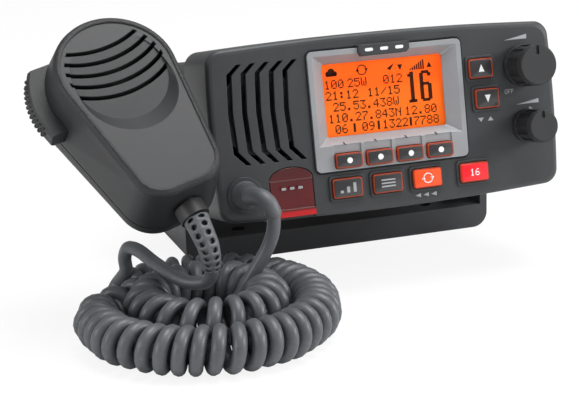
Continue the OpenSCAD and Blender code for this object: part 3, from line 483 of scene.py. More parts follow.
# Dark trim colour; its material also serves as the painted shade of the grooves over the soft keys.
DARK = Finish("dark_trim_and_groove_shade", (30, 30, 32), roughness=0.5)
SILVER = Finish(
    "silver_paint", (152, 154, 157), roughness=0.38, metallic=0.35, grain=0.25, relief=0.004, mottle=0.04,
)
GLASS = Finish("window_clear", (16, 16, 16), roughness=0.04, relief=0, alpha=0.06)
DISPLAY = Lit("display_orange", (232, 102, 30), roughness=0.6, relief=0.0, glow=0.6, specular=0.05)
INK = Finish("display_ink", (66, 28, 14), roughness=0.6, relief=0, specular=0.1)
KEY_RIM = Finish("key_rim_orange", (168, 60, 26), roughness=0.4, glow=0.05)
KEY_CAP = Finish("key_cap_dark", (44, 42, 44), roughness=0.32, coat=0.3)
KEY_ORANGE = Finish("key_cap_orange", (240, 74, 14), roughness=0.34, glow=0.12)
KEY_RED = Finish("key_cap_red", (232, 16, 32), roughness=0.34, glow=0.1)
WHITE = Finish("print_white", (235, 236, 238), roughness=0.5, relief=0)
GREY_PRINT = Finish("print_grey", (160, 162, 165), roughness=0.5, relief=0)
# Smoked red cover, with painted shade over its upper part and a painted highlight along its lower lip.
COVER = CoverRed("cover_smoked", (92, 18, 22), roughness=0.16, relief=0, coat=0.5)
BUTTON_RED = Finish("button_bright", (190, 24, 30), roughness=0.4)
STEEL = Finish("steel_plain", (176, 178, 182), roughness=0.28, metallic=1.0, grain=0.3, relief=0.004)
RUBBER = Finish("rubber_black", (34, 34, 36), roughness=0.7, grain=0.4, relief=0.02)
BOARD = Finish("board_green", (22, 78, 44), roughness=0.45, grain=1.0)
CHIPS = Finish("component_black", (32, 32, 36), roughness=0.45)
RIBBON = Finish("ribbon_pale", (186, 186, 176), roughness=0.45)
CONE = Finish("speaker_cone", (24, 24, 26), roughness=0.85, grain=0.8, relief=0.08)
MIC_FACE = MicFace(
    "mic_face_charcoal", (37, 38, 40), roughness=0.45, grain=0.45, relief=0.01, specular=0.35, edge=0.5,
)
MIC_BACK = Finish("mic_back_charcoal", (38, 39, 41), roughness=0.5, grain=0.6, relief=0.05, specular=0.4)
CORD = Jacket("cord_grey", (80, 82, 86), roughness=0.42, grain=0.5, relief=0.02)
BOOT = Finish("boot_grey", (86, 88, 91), roughness=0.5, grain=0.5, relief=0.02)


# -------------------------------------------------------------------- shapes


TINY = 1e-4


class Shape:
    """A mesh being shaped in millimetres in a local frame, and then placed in the world."""

    def __init__(self, face: Face = Face.WORLD) -> None:
        """Starts an empty shape.

        Args:
            face: The local frame that its coordinates are in.
        """
        self.face = face
        self.bm = bmesh.new()

    def plate(self, centre: Place, size: Place, corner: float = 0.0, edge: float = 0.0) -> "Shape":
        """Adds a plate that faces along Y, with rounded corners and a rounded front edge.

        Args:
            centre: Its middle.
            size: Width, depth and height.
            corner: Radius of its corners.
            edge: Radius of its front edge.

        Returns:
            The shape.
        """
        made = bmesh.ops.create_cube(self.bm, size=1.0)["verts"]
        bmesh.ops.scale(self.bm, vec=size, verts=made)
        bmesh.ops.translate(self.bm, vec=centre, verts=made)
        if corner:
            deep = size[1] / 2
            edges = {e for v in made for e in v.link_edges if abs(e.verts[0].co.y - e.verts[1].co.y) > deep}
            made = self.round_off(edges, corner, 6)
        if edge:
            front = centre[1] - size[1] / 2 + TINY
            around = {e for v in made for e in v.link_edges}
            self.round_off({e for e in around if all(p.co.y < front for p in e.verts)}, edge, 2)
        return self

    def round_off(
        self, edges: set[bmesh.types.BMEdge], radius: float, segments: int
    ) -> list[bmesh.types.BMVert]:
        """Rounds edges.

        Args:
            edges: The edges to round.
            radius: Width of the rounding.
            segments: Steps of the rounding.

        Returns:
            The corners of the new faces.
        """
        made = bmesh.ops.bevel(
            self.bm, geom=list(edges), offset=radius, offset_type="OFFSET", segments=segments,
            profile=0.5, affect="EDGES", material=-1,
        )
        return list({v for f in made["faces"] for v in f.verts} | set(made["verts"]))

    def disc(self, centre: Place, radius: float, depth: float, sides: int = 32) -> "Shape":
        """Adds a round plate that faces along Y.

        Args:
            centre: Its middle.
            radius: Its radius.
            depth: Its depth along Y.
            sides: Its number of sides.

        Returns:
            The shape.
        """
        turn = Matrix.Translation(centre) @ Matrix.Rotation(math.radians(90), 4, "X")
        bmesh.ops.create_cone(
            self.bm, cap_ends=True, segments=sides, radius1=radius, radius2=radius, depth=depth, matrix=turn
        )
        return self

    def prism(self, corners: list[Spot], y: float, depth: float) -> "Shape":
        """Adds a flat outline in X and Z, with some depth along Y.

        Args:
            corners: The outline's corners, anticlockwise seen from the front.
            y: Where its front lies.
            depth: Its depth.

        Returns:
            The shape.
        """
        points = [self.bm.verts.new((x, y, z)) for x, z in corners]
        flat = self.bm.faces.new(points)
        made = bmesh.ops.extrude_face_region(self.bm, geom=[flat])["geom"]
        back = [g for g in made if isinstance(g, bmesh.types.BMVert)]
        bmesh.ops.translate(self.bm, vec=(0, depth, 0), verts=back)
        return self

    def arrow(self, front: Place, size: Place, up: float, depth: float) -> "Shape":
        """Adds a three-cornered arrow that points up or down.

        Args:
            front: Its middle, at its front.
            size: Half its width, and how far it reaches behind and ahead of its middle.
            up: 1 to point up, -1 to point down.
            depth: Its depth along Y.

        Returns:
            The shape.
        """
        (x, y, z), (half, foot, tip) = front, size
        corners = [(x - half, z - foot * up), (x + half, z - foot * up), (x, z + tip * up)]
        return self.prism(corners, y, depth)

    def dots(self, text: str, corner: Place, step: Spot) -> "Shape":
        """Adds a line of dot-matrix characters that face along Y.

        Args:
            text: The characters.
            corner: Upper left corner of the line.
            step: Width and height of a dot.

        Returns:
            The shape.
        """
        columns = 5
        size = Matrix.Diagonal((step[0], 1.0, step[1], 1.0)) @ Matrix.Rotation(math.radians(90), 4, "X")
        for number, letter in enumerate(text):
            for row, line in enumerate(GLYPHS[letter].split()):
                for column in (c for c in range(columns) if int(line, 16) >> (columns - 1 - c) & 1):
                    x = corner[0] + (number * (columns + 1) + column + 0.5) * step[0]
                    place = Matrix.Translation((x, corner[1], corner[2] - (row + 0.5) * step[1]))
                    bmesh.ops.create_grid(self.bm, x_segments=1, y_segments=1, size=0.5, matrix=place @ size)
        return self

    def ring(self, centre: Place, radius: float, wire: float, sides: int = 32, around: int = 6) -> "Shape":
        """Adds a torus whose hole looks along Y.

        Args:
            centre: Its middle.
            radius: Radius of its middle line.
            wire: Radius of its section.
            sides: Steps around the ring.
            around: Steps around the section.

        Returns:
            The shape.
        """
        turn = Vector((0, 1, 0)).to_track_quat("Z", "Y").to_matrix().to_4x4()
        section = Matrix.Translation((radius, 0, 0)) @ Matrix.Rotation(math.radians(90), 4, "X")
        place = Matrix.Translation(centre) @ turn
        circle = bmesh.ops.create_circle(self.bm, segments=around, radius=wire, matrix=place @ section)
        verts = circle["verts"]
        geom = verts + list({e for v in verts for e in v.link_edges})
        axis = turn @ Vector((0, 0, 1))
        bmesh.ops.spin(
            self.bm, geom=geom, cent=centre, axis=axis, angle=math.tau, steps=sides, use_merge=True
        )
        return self

    def tube(self, line: list[Vector], radii: list[float], sides: int = 16) -> "Shape":
        """Sweeps a round section along a line.

        Args:
            line: Points of its middle line.
            radii: Its radius at each point, or one radius for all.
            sides: Steps around it.

        Returns:
            The shape.
        """
        places = transport(line)
        first = bmesh.ops.create_circle(self.bm, segments=sides, radius=radii[0], matrix=places[0])["verts"]
        edges = list({e for v in first for e in v.link_edges})
        ends = [edges]
        for i in range(1, len(line)):
            grown = bmesh.ops.extrude_edge_only(self.bm, edges=edges)["geom"]
            edges = [g for g in grown if isinstance(g, bmesh.types.BMEdge)]
            verts = [g for g in grown if isinstance(g, bmesh.types.BMVert)]
            share = radii[min(i, len(radii) - 1)] / radii[min(i - 1, len(radii) - 1)]
            step = places[i] @ Matrix.Scale(share, 4) @ places[i - 1].inverted()
            bmesh.ops.transform(self.bm, matrix=step, verts=verts)
        ends.append(edges)
        for end in ends:
            bmesh.ops.contextual_create(self.bm, geom=end)
        return self

    def done(
        self,
        name: str,
        finish: Finish,
        body: Body | str | None,
        slot: str | None = None,
        smooth: float = 35.0,
        closed: bool = True,
    ) -> bpy.types.Object:
        """Places the shape in the world as a finished piece.

        Args:
            name: The piece's name.
            finish: Its finish.
            body: The body that it rides on, or None.
            slot: Not used.
            smooth: Edges flatter than this many degrees look smooth.
            closed: Whether its faces are turned outwards here.

        Returns:
            The new object.
        """
        bmesh.ops.transform(self.bm, matrix=self.face.matrix @ Matrix.Scale(MM, 4), verts=self.bm.verts)
        bmesh.ops.remove_doubles(self.bm, verts=self.bm.verts, dist=1e-7)
        if closed:
            bmesh.ops.recalc_face_normals(self.bm, faces=self.bm.faces)
        mesh = bpy.data.meshes.new(name)
        self.bm.to_mesh(mesh)
        self.bm.free()
        return settle(bpy.data.objects.new(name, mesh), finish, body, smooth)


def settle(
    piece: bpy.types.Object,
    finish: Finish,
    body: Body | str | None,
    smooth: float = 35.0,
) -> bpy.types.Object:
    """Gives a new object its finish, smoothness and body.

    Args:
        piece: The new object.
        finish: Its finish.
        body: The body that it rides on, or None.
        smooth: Edges flatter than this many degrees look smooth.

    Returns:
        The object.
    """
    if piece.name not in bpy.context.scene.collection.objects:
        bpy.context.scene.collection.objects.link(piece)
    piece.data.materials.clear()
    piece.data.materials.append(finish.material())
    if piece.type == "MESH":
        piece.data.shade_smooth()
        piece.data.set_sharp_from_angle(angle=math.radians(smooth))
    if body is not None:
        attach(piece, body.value if isinstance(body, Body) else body)
    LOG.info("made %s", piece.name)
    return piece


def transport(line: list[Vector]) -> list[Matrix]:
    """Frames along a line that don't twist about it.

    Args:
        line: The line's points.

    Returns:
        One frame for each point, with Z along the line.
    """
    places, turn = [], None
    for i, point in enumerate(line):
        along = (line[min(i + 1, len(line) - 1)] - line[max(i - 1, 0)]).normalized()
        if turn is None:
            turn = along.to_track_quat("Z", "X")
        else:
            turn = (turn @ Vector((0, 0, 1))).rotation_difference(along) @ turn
        places.append(Matrix.Translation(point) @ turn.to_matrix().to_4x4())
    return places


def flow(points: list[Place], steps: int = 4) -> list[Vector]:
    """A smooth line through points.

    Args:
        points: The points that it passes.
        steps: Steps from each point to the next.

    Returns:
        The line's points.
    """
    knots = [Vector(p) for p in points]
    knots = [2 * knots[0] - knots[1], *knots, 2 * knots[-1] - knots[-2]]
    line = []
    for a, b, c, d in zip(knots, knots[1:], knots[2:], knots[3:]):
        for i in range(steps):
            t = i / steps
            square, cube = 2 * a - 5 * b + 4 * c - d, 3 * b - a - 3 * c + d
            line.append(0.5 * (2 * b + (c - a) * t + square * t * t + cube * t**3))
    return [*line, knots[-2]]


def ease(share: float) -> float:
    """Goes smoothly from 0 to 1."""
    share = max(0.0, min(1.0, share))
    return share * share * (3 - 2 * share)


def dress(node: str, finish: Finish) -> None:
    """Gives a CAD node its finish."""
    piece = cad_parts[node]
    piece.data.materials.clear()
    piece.data.materials.append(finish.material())
    LOG.info("dressed %s", node)


@dataclass
class Assembly:
    """A sub-assembly whose CAD nodes keep their shape and get a finish.

    Attributes:
        finishes: The finish of each node.
    """

    finishes: dict[str, Finish]

    def build(self) -> None:
        """Dresses the nodes."""
        for node, finish in self.finishes.items():
            dress(node, finish)


# --------------------------------------------------------------------- stage


@dataclass
class Camera:
    """The camera, at the place from which the photograph was taken.

    Attributes:
        spot: Its place in metres.
        right: The direction that the picture's right side points to.
        down: The direction that the picture's lower side points to.
        ahead: The direction that it looks along.
        lens: Its focal length in millimetres, for a sensor 36 mm wide.
    """

    spot: Place = (-0.257819, -0.727784, 0.233411)
    right: Place = (0.945888, -0.32252, -0.035728)
    down: Place = (-0.119711, -0.244496, -0.962232)
    ahead: Place = (0.301604, 0.914441, -0.269875)
    lens: float = 93.264

    def build(self) -> None:
        """Makes the camera and lets the scene use it."""
        data = bpy.data.cameras.new("camera")
        data.sensor_width, data.lens = 36.0, self.lens
        data.clip_start, data.clip_end = 0.01, 20.0
        camera = bpy.data.objects.new("camera", data)
        bpy.context.scene.collection.objects.link(camera)
        turn = Matrix((self.right, [-x for x in self.down], [-x for x in self.ahead])).transposed()
        camera.matrix_world = Matrix.Translation(self.spot) @ turn.to_4x4()
        bpy.context.scene.camera = camera


@dataclass
class Lamp:
    """A soft box: where it stands, where it looks, its size and its power."""

    name: str
    spot: Place
    aim: Place
    size: float
    power: float

    def build(self) -> None:
        """Makes the lamp."""
        data = bpy.data.lights.new(self.name, "AREA")
        data.size, data.energy = self.size, self.power
        lamp = bpy.data.objects.new(self.name, data)
        bpy.context.scene.collection.objects.link(lamp)
        lamp.location = self.spot
        lamp.rotation_euler = (Vector(self.aim) - Vector(self.spot)).to_track_quat("-Z", "Y").to_euler()


@dataclass
class Studio:
    """White floor and surroundings, and plain soft lamps.

    Attributes:
        surround: Strength of the light from all around.
        half: Half the floor's width in metres.
        drop: How far the floor lies under the part.
        white: How bright the floor's own surface is.
        shadow_free: Share of the floor that looks white whatever falls on it.
        lamps: The lamps.
    """

    surround: float = 0.42
    half: float = 3.0
    drop: float = 0.0002
    white: float = 0.86
    shadow_free: float = 0.86
    lamps: list[Lamp] = field(
        default_factory=lambda: [
            Lamp("top", (0.25, -0.2, 1.4), (-0.02, -0.05, 0.05), 0.8, 18.0),
            Lamp("right", (1.2, -0.7, 0.6), (0.0, -0.1, 0.06), 0.5, 13.0),
            Lamp("left", (-1.4, -0.3, 0.5), (-0.05, -0.1, 0.06), 0.5, 6.0),
        ]
    )

    def build(self) -> None:
        """Makes the floor, the surroundings and the lamps."""
        scene = bpy.context.scene
        scene.view_settings.view_transform = "Standard"
        world = bpy.data.worlds.new("surround")
        scene.world = world
        world.use_nodes = True
        tree = world.node_tree
        back = tree.nodes["Background"]
        back.inputs["Color"].default_value = (1, 1, 1, 1)
        path = tree.nodes.new("ShaderNodeLightPath")
        seen = tree.nodes.new("ShaderNodeMath")
        seen.operation = "MAXIMUM"
        tree.links.new(path.outputs["Is Camera Ray"], seen.inputs[0])
        tree.links.new(path.outputs["Is Transmission Ray"], seen.inputs[1])
        level = tree.nodes.new("ShaderNodeMapRange")
        level.inputs["To Min"].default_value = self.surround
        level.inputs["To Max"].default_value = 1.0
        tree.links.new(seen.outputs[0], level.inputs["Value"])
        tree.links.new(level.outputs[0], back.inputs["Strength"])
        for lamp in self.lamps:
            lamp.build()
        bm = bmesh.new()
        bmesh.ops.create_grid(bm, x_segments=1, y_segments=1, size=self.half)
        bmesh.ops.translate(bm, vec=(0, 0, -self.drop), verts=bm.verts)
        mesh = bpy.data.meshes.new("floor")
        bm.to_mesh(mesh)
        bm.free()
        floor = bpy.data.objects.new("floor", mesh)
        scene.collection.objects.link(floor)
        mesh.materials.append(self.floor())
        floor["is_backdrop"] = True

    def floor(self) -> bpy.types.Material:
        """A white floor that keeps a pale shadow.

        Returns:
            Its material.
        """
        nodes = Nodes("floor_white")
        nodes.shader.inputs["Base Color"].default_value = (self.white, self.white, self.white, 1)
        nodes.shader.inputs["Roughness"].default_value = 0.9
        nodes.shader.inputs["Specular IOR Level"].default_value = 0.1
        white = nodes.add("ShaderNodeEmission", Color=(1, 1, 1, 1), Strength=1.02)
        path = nodes.add("ShaderNodeLightPath")
        seen = nodes.sum("MAXIMUM", path.outputs["Is Camera Ray"], path.outputs["Is Transmission Ray"])
        share = nodes.sum("MULTIPLY", seen, self.shadow_free)
        mixed = nodes.add("ShaderNodeMixShader")
        nodes.link(share, mixed.inputs[0])
        nodes.link(nodes.shader.outputs[0], mixed.inputs[1])
        nodes.link(white.outputs[0], mixed.inputs[2])
        nodes.link(mixed.outputs[0], nodes.tree.nodes["Material Output"].inputs["Surface"])
        return nodes.material


# --------------------------------------------------------------------- cords


@dataclass
class GlandLead:
    """The plain stretch of cord from the panel's gland down into the coil, and the sleeve at its start.

    Attributes:
        diameter: The cord's thickness in millimetres.
        length: The cord's length in metres.
        route: Points that it passes, in millimetres.
        sleeve_radii: Radius of the sleeve at each step along the cord.
    """

    diameter: float = 6.2
    length: float = 0.068
    route: list[Place] = field(
        default_factory=lambda: [
            (-72.8, -111.4, 55.56), (-72.4, -117, 56.96), (-70.8, -122.4, 57.56), (-68.4, -125.8, 54.76),
            (-67.2, -126.8, 49.36), (-67.8, -126.6, 42.4), (-70.4, -126, 35.4), (-74.4, -125.4, 28.6),
            (-78.6, -124.4, 21.6), (-82.8, -123.4, 14.8), (-86.4, -122.6, 9),
        ]
    )
    sleeve_radii: list[float] = field(
        default_factory=lambda: [
            4.5, 4.4, 4.3, 4.2, 4.1, 4.0, 4.0, 3.9, 3.9, 3.9, 3.8, 3.8, 3.8, 3.7, 3.9, 3.9, 3.2,
        ]
    )

    def build(self) -> None:
        """Makes the lead and its sleeve."""
        line = flow(self.route)
        lead = Shape().tube(line, [self.diameter / 2], 16).done("gland_cord", CORD, None, "cord", 60)
        covered = line[: len(self.sleeve_radii)]
        sleeve = Shape().tube(covered, self.sleeve_radii, 20).done("gland_sleeve", BOOT, None, "boot", 60)
        for piece in (lead, sleeve):
            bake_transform(piece)
        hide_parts("gland_lead")


@dataclass
class CurlyCord:
    """The curly cord: plain start in the coil's middle, inner ring, outer ring, plain end to the microphone.

    Attributes:
        diameter: The cord's thickness in millimetres.
        length: Its whole length in metres.
        curl: Radius of a curl's middle line.
        centre: Middle of the rings on the floor.
        inner: Radius of the inner ring.
        outer: Radius of the outer ring.
        inner_height: Height of the inner ring's middle.
        outer_height: Height of the outer ring's middle.
        turns: Curls at the inner ring's end, at the outer ring's start and in all.
        angles: Where the rings start and end around the centre, in degrees.
        steps: Points in each curl.
        sway: How uneven the curls lie, around the rings and in height.
        start: Points of the plain start.
        lift: Points between the last curl and the plain end.
        end: Points of the plain end.
    """

    diameter: float = 6.2
    length: float = 3.05
    curl: float = 7.65
    centre: Spot = (-99.0, -127.0)
    inner: float = 26.0
    outer: float = 48.0
    inner_height: float = 14.8
    outer_height: float = 10.95
    turns: tuple[float, float, float] = (19.0, 23.0, 60.0)
    angles: tuple[float, float, float, float] = (142.0, 492.0, 532.0, 843.6)
    steps: int = 20
    sway: Spot = (0.35, 0.12)
    start: list[Place] = field(
        default_factory=lambda: [
            (-86.4, -122.6, 9), (-88, -119.6, 6.4), (-92, -117.2, 5.2), (-98, -115.8, 4.8),
            (-105, -115.6, 5.2),
        ]
    )
    lift: list[Place] = field(default_factory=lambda: [(-129.2, -81.6, 14), (-127.6, -84.2, 17.2)])
    end: list[Place] = field(
        default_factory=lambda: [
            (-126, -87, 21.4), (-126.4, -87.6, 27.4), (-125.2, -91.4, 33), (-122, -99, 33.4),
            (-118, -110, 30.6), (-114, -120.8, 28.6), (-109.4, -130, 26.8), (-104.4, -135.6, 27),
            (-101.4, -138.8, 29), (-100.4, -141.4, 32.7), (-100.6, -142, 34.9),
        ]
    )

    def at(self, turn: float) -> Vector:
        """A point of the curls.

        Args:
            turn: How many turns from the first curl.

        Returns:
            The point, in millimetres.
        """
        first, second, last = self.turns
        a, b, c, d = self.angles
        if turn < first:
            angle = a + (b - a) * turn / first
        elif turn < second:
            angle = b + (c - b) * (turn - first) / (second - first)
        else:
            angle = c + (d - c) * (turn - second) / (last - second)
        over = ease((turn - first) / (second - first))
        around = self.inner + (self.outer - self.inner) * over + self.sway[0] * math.sin(turn * 1.7)
        rise = (self.outer_height - self.inner_height) * over + self.sway[1] * math.sin(turn * 2.3)
        angle = math.radians(angle + 0.7 * math.sin(turn * 1.1) + 0.4 * math.sin(turn * 0.37 + 1))
        phase = math.tau * (0.75 + turn)
        reach = around + self.curl * math.cos(phase)
        x = self.centre[0] + reach * math.cos(angle)
        y = self.centre[1] + reach * math.sin(angle)
        return Vector((x, y, self.inner_height + rise + self.curl * math.sin(phase)))

    def build(self) -> None:
        """Makes the cord as one curve."""
        last = self.turns[2] + 0.25
        count = round(last * self.steps)
        curls = [self.at(last * i / count) for i in range(count + 1)]
        head = flow([*self.start, tuple(curls[0])], 4)[:-1]
        tail = flow([tuple(curls[-1]), *self.lift, *self.end], 4)[1:]
        line = [p * MM for p in [*head, *curls, *tail]]
        data = bpy.data.curves.new("curly_cord", "CURVE")
        data.dimensions = "3D"
        data.bevel_depth, data.bevel_resolution = self.diameter / 2 * MM, 4
        data.use_fill_caps = True
        spline = data.splines.new("POLY")
        spline.points.add(len(line) - 1)
        spline.use_smooth = True
        for point, place in zip(spline.points, line):
            point.co = (*place, 1.0)
        cord = settle(bpy.data.objects.new("curly_cord", data), CORD, Body.BRACKET)
        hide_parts("coil_outer", "coil_inner", "mic_lead")
        LOG.info("curly cord is %.3f m long", sum((b - a).length for a, b in zip(line, line[1:])))


@dataclass
class Boot:
    """The microphone's strain relief: a tapered lattice sleeve around the cord.

    Attributes:
        route: Points that the cord passes inside it, in millimetres.
        radii: Its radius at the microphone and at its end.
        rows: Holes along it.
        columns: Fields around it; every third one has no holes.
        hole: Radius of a hole, for a field 2 wide and 2 high.
        sides: Steps around a hole.
        wall: Thickness of its wall.
        core: Radius of the cord inside it.
    """

    route: list[Place] = field(
        default_factory=lambda: [
            (-105, -137.5, 56.3), (-103.8, -141.4, 51.8), (-102, -143.6, 45.8), (-101, -143.4, 40),
            (-100.6, -142, 35),
        ]
    )
    radii: Spot = (5.6, 4.0)
    rows: int = 8
    columns: int = 6
    hole: float = 0.62
    sides: int = 16
    wall: float = 0.9
    core: float = 3.1

    def build(self) -> None:
        """Makes the sleeve and the cord inside it."""
        line = flow(self.route, 8)
        core = Shape().tube(line, [self.core], 16).done("boot_core", CORD, None, "cord", 60)
        sleeve = self.sleeve(line)
        for piece in (core, sleeve):
            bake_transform(piece)
        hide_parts("mic_boot")

    def lattice(self, bm: bmesh.types.BMesh) -> None:
        """Draws the flat lattice: fields of 2 by 2, with or without a round hole.

        Args:
            bm: The mesh that it goes into.
        """
        quarter = self.sides // 4
        edge = [max(-1.0, min(1.0, abs(k - 2 * quarter) / 2 - 2)) for k in range(self.sides)]
        for column in range(self.columns):
            for row in range(self.rows):
                centre = Vector((2 * column + 1, 2 * row + 1, 0))
                place = Matrix.Translation(centre)
                if column % 3 == 2:
                    bmesh.ops.create_grid(bm, x_segments=4, y_segments=4, size=1.0, matrix=place)
                    continue
                made = bmesh.ops.create_circle(bm, segments=self.sides, radius=self.hole, matrix=place)
                edges = list({e for v in made["verts"] for e in v.link_edges})
                grown = bmesh.ops.extrude_edge_only(bm, edges=edges)["geom"]
                for v in (g for g in grown if isinstance(g, bmesh.types.BMVert)):
                    angle = math.atan2(v.co.y - centre.y, v.co.x - centre.x)
                    turn = round(angle / math.tau * self.sides) % self.sides
                    v.co = centre + Vector((edge[turn], edge[turn - quarter], 0))
        bmesh.ops.remove_doubles(bm, verts=bm.verts, dist=TINY)

    def sleeve(self, line: list[Vector]) -> bpy.types.Object:
        """Bends the flat lattice around the cord.

        Args:
            line: The middle line of the boot.

        Returns:
            The sleeve.
        """
        shape = Shape()
        self.lattice(shape.bm)
        places = transport(line)
        for v in shape.bm.verts:
            along = v.co.y / (2 * self.rows)
            spot = min(along, 1 - TINY) * (len(places) - 1)
            low = int(spot)
            place = places[low].lerp(places[low + 1], spot - low)
            angle = (v.co.x - 1.0) / (2 * self.columns) * math.tau
            radius = self.radii[0] + (self.radii[1] - self.radii[0]) * along
            v.co = place @ Vector((radius * math.cos(angle), radius * math.sin(angle), 0))
        piece = shape.done("boot_sleeve", BOOT, None, "boot", 50)
        wall = piece.modifiers.new("wall", "SOLIDIFY")
        wall.thickness, wall.offset = self.wall * MM, -1
        return piece


# --------------------------------------------------------------------- radio


@dataclass
class FrontPanel(Assembly):
    """The front panel and what is fixed in it."""

    finishes: dict[str, Finish] = field(
        default_factory=lambda: {
            "front_panel": BODY, "panel_gasket": RUBBER, "display_frame": SILVER, "display_window": GLASS,
            "display_module": DISPLAY, "speaker_basket": DARK, "speaker_cone": CONE, "speaker_magnet": STEEL,
            "front_board": BOARD, "keypad_sheet": RUBBER, "volume_control": STEEL, "squelch_control": STEEL,
            "volume_shaft": STEEL, "squelch_shaft": STEEL, "distress_pin": STEEL, "cord_gland": CORD,
        }
    )


@dataclass
class Readout:
    """What the display shows: numbers, a channel, signal bars and small signs.

    Attributes:
        left: Place of the display's left edge, in the radio's frame.
        top: Height of its upper edge.
        depth: Depth of the content behind the panel's face.
        thick: Thickness of the content.
        dot: Width and height of a dot.
        lines: Each text with its distance from the left edge and from the top.
        strokes: The channel number's strokes: from the left, from the top, width and height.
        bars: The signal bars: first distance from the left, step, growth, and how many.
        puffs: The cloud's round parts: from the left, from the top, and radius.
        ring: The ring of arrows: from the left, from the top, radius and thickness.
        pointers: The two pointers: from the left, and whether they point up or down.
        bolt: The corners of the slanted sign: from the left and from the top.
    """

    left: float = -29.2
    top: float = 27.9
    depth: float = 5.33
    thick: float = 0.04
    dot: Spot = (0.555, 0.58)
    lines: tuple[tuple[str, float, float], ...] = (
        ("100", 0.6, 7.3), ("25W", 12.0, 7.3), ("012", 29.8, 7.3), ("21:12", 0.8, 12.5),
        ("11/15", 21.5, 12.5), ("25.53.438W", 4.0, 17.8), ("110.27.843N", 1.3, 23.0), ("12.80", 39.4, 23.0),
        ("06", 4.2, 28.1), ("|", 12.6, 28.1), ("09", 17.5, 28.1), ("|", 24.6, 28.1), ("1322", 27.7, 28.1),
        ("|", 40.8, 28.1), ("7788", 43.5, 28.1),
    )
    strokes: tuple[tuple[float, float, float, float], ...] = (
        (43.1, 7.0, 1.9, 14.4), (42.0, 20.0, 4.1, 1.4), (42.0, 7.9, 1.4, 1.4), (48.0, 8.0, 1.9, 12.4),
        (49.0, 7.0, 3.8, 1.4), (49.0, 20.0, 3.8, 1.4), (49.0, 12.4, 3.8, 1.4), (52.0, 13.2, 1.9, 7.4),
        (52.0, 8.0, 1.7, 1.7),
    )
    bars: tuple[float, float, float, int] = (43.4, 1.1, 0.65, 7)
    puffs: tuple[Place, ...] = ((2.8, 4.3, 1.2), (4.4, 3.6, 1.7), (6.2, 4.4, 1.1))
    ring: tuple[float, float, float, float] = (19.6, 3.9, 2.2, 0.24)
    pointers: tuple[Spot, ...] = ((38.6, -1), (53.4, 1))
    bolt: tuple[Spot, ...] = ((32.0, 4.4), (33.6, 5.4), (35.8, 2.2))

    def spot(self, x: float, down: float) -> Place:
        """A point of the display, from its upper left corner."""
        return (self.left + x, self.depth, self.top - down)

    def bar(self, shape: Shape, x: float, down: float, width: float, height: float) -> None:
        """Adds a block whose upper left corner is given."""
        shape.plate(self.spot(x + width / 2, down + height / 2), (width, self.thick, height))

    def arrow(self, shape: Shape, x: float, down: float, size: Place, up: float) -> None:
        """Adds a small arrow that points up or down."""
        middle = self.spot(x, down)
        shape.arrow((middle[0], self.depth - self.thick / 2, middle[2]), size, up, self.thick)

    def signs(self, shape: Shape) -> None:
        """Adds the cloud, the ring of arrows, the pointers and the slanted sign."""
        for x, down, radius in self.puffs:
            shape.disc(self.spot(x, down), radius, self.thick, 20)
        self.bar(shape, 1.8, 4.4, 5.2, 1.2)
        x, down, radius, wire = self.ring
        shape.ring(self.spot(x, down), radius, wire, 28)
        for side in (1, -1):
            self.arrow(shape, x - side * radius, down, (0.9, 0.5, 0.9), side)
        for x, up in self.pointers:
            self.arrow(shape, x, 4.4, (1.3, 1.3, 1.4), up)
        corners = [(self.left + x, self.top - down) for x, down in self.bolt]
        shape.prism(corners, self.depth - self.thick / 2, self.thick)

    def build(self) -> None:
        """Makes the display's content."""
        shape = Shape(Face.RADIO)
        for text, x, down in self.lines:
            shape.dots(text, self.spot(x, down), self.dot)
        first, step, growth, count = self.bars
        for i in range(count):
            self.bar(shape, first + i * step, 5.6 - growth * i, 0.75, 0.7 + growth * i)
        for stroke in self.strokes:
            self.bar(shape, *stroke)
        self.signs(shape)
        shape.done("display_content", INK, Body.RADIO, "display", closed=False)


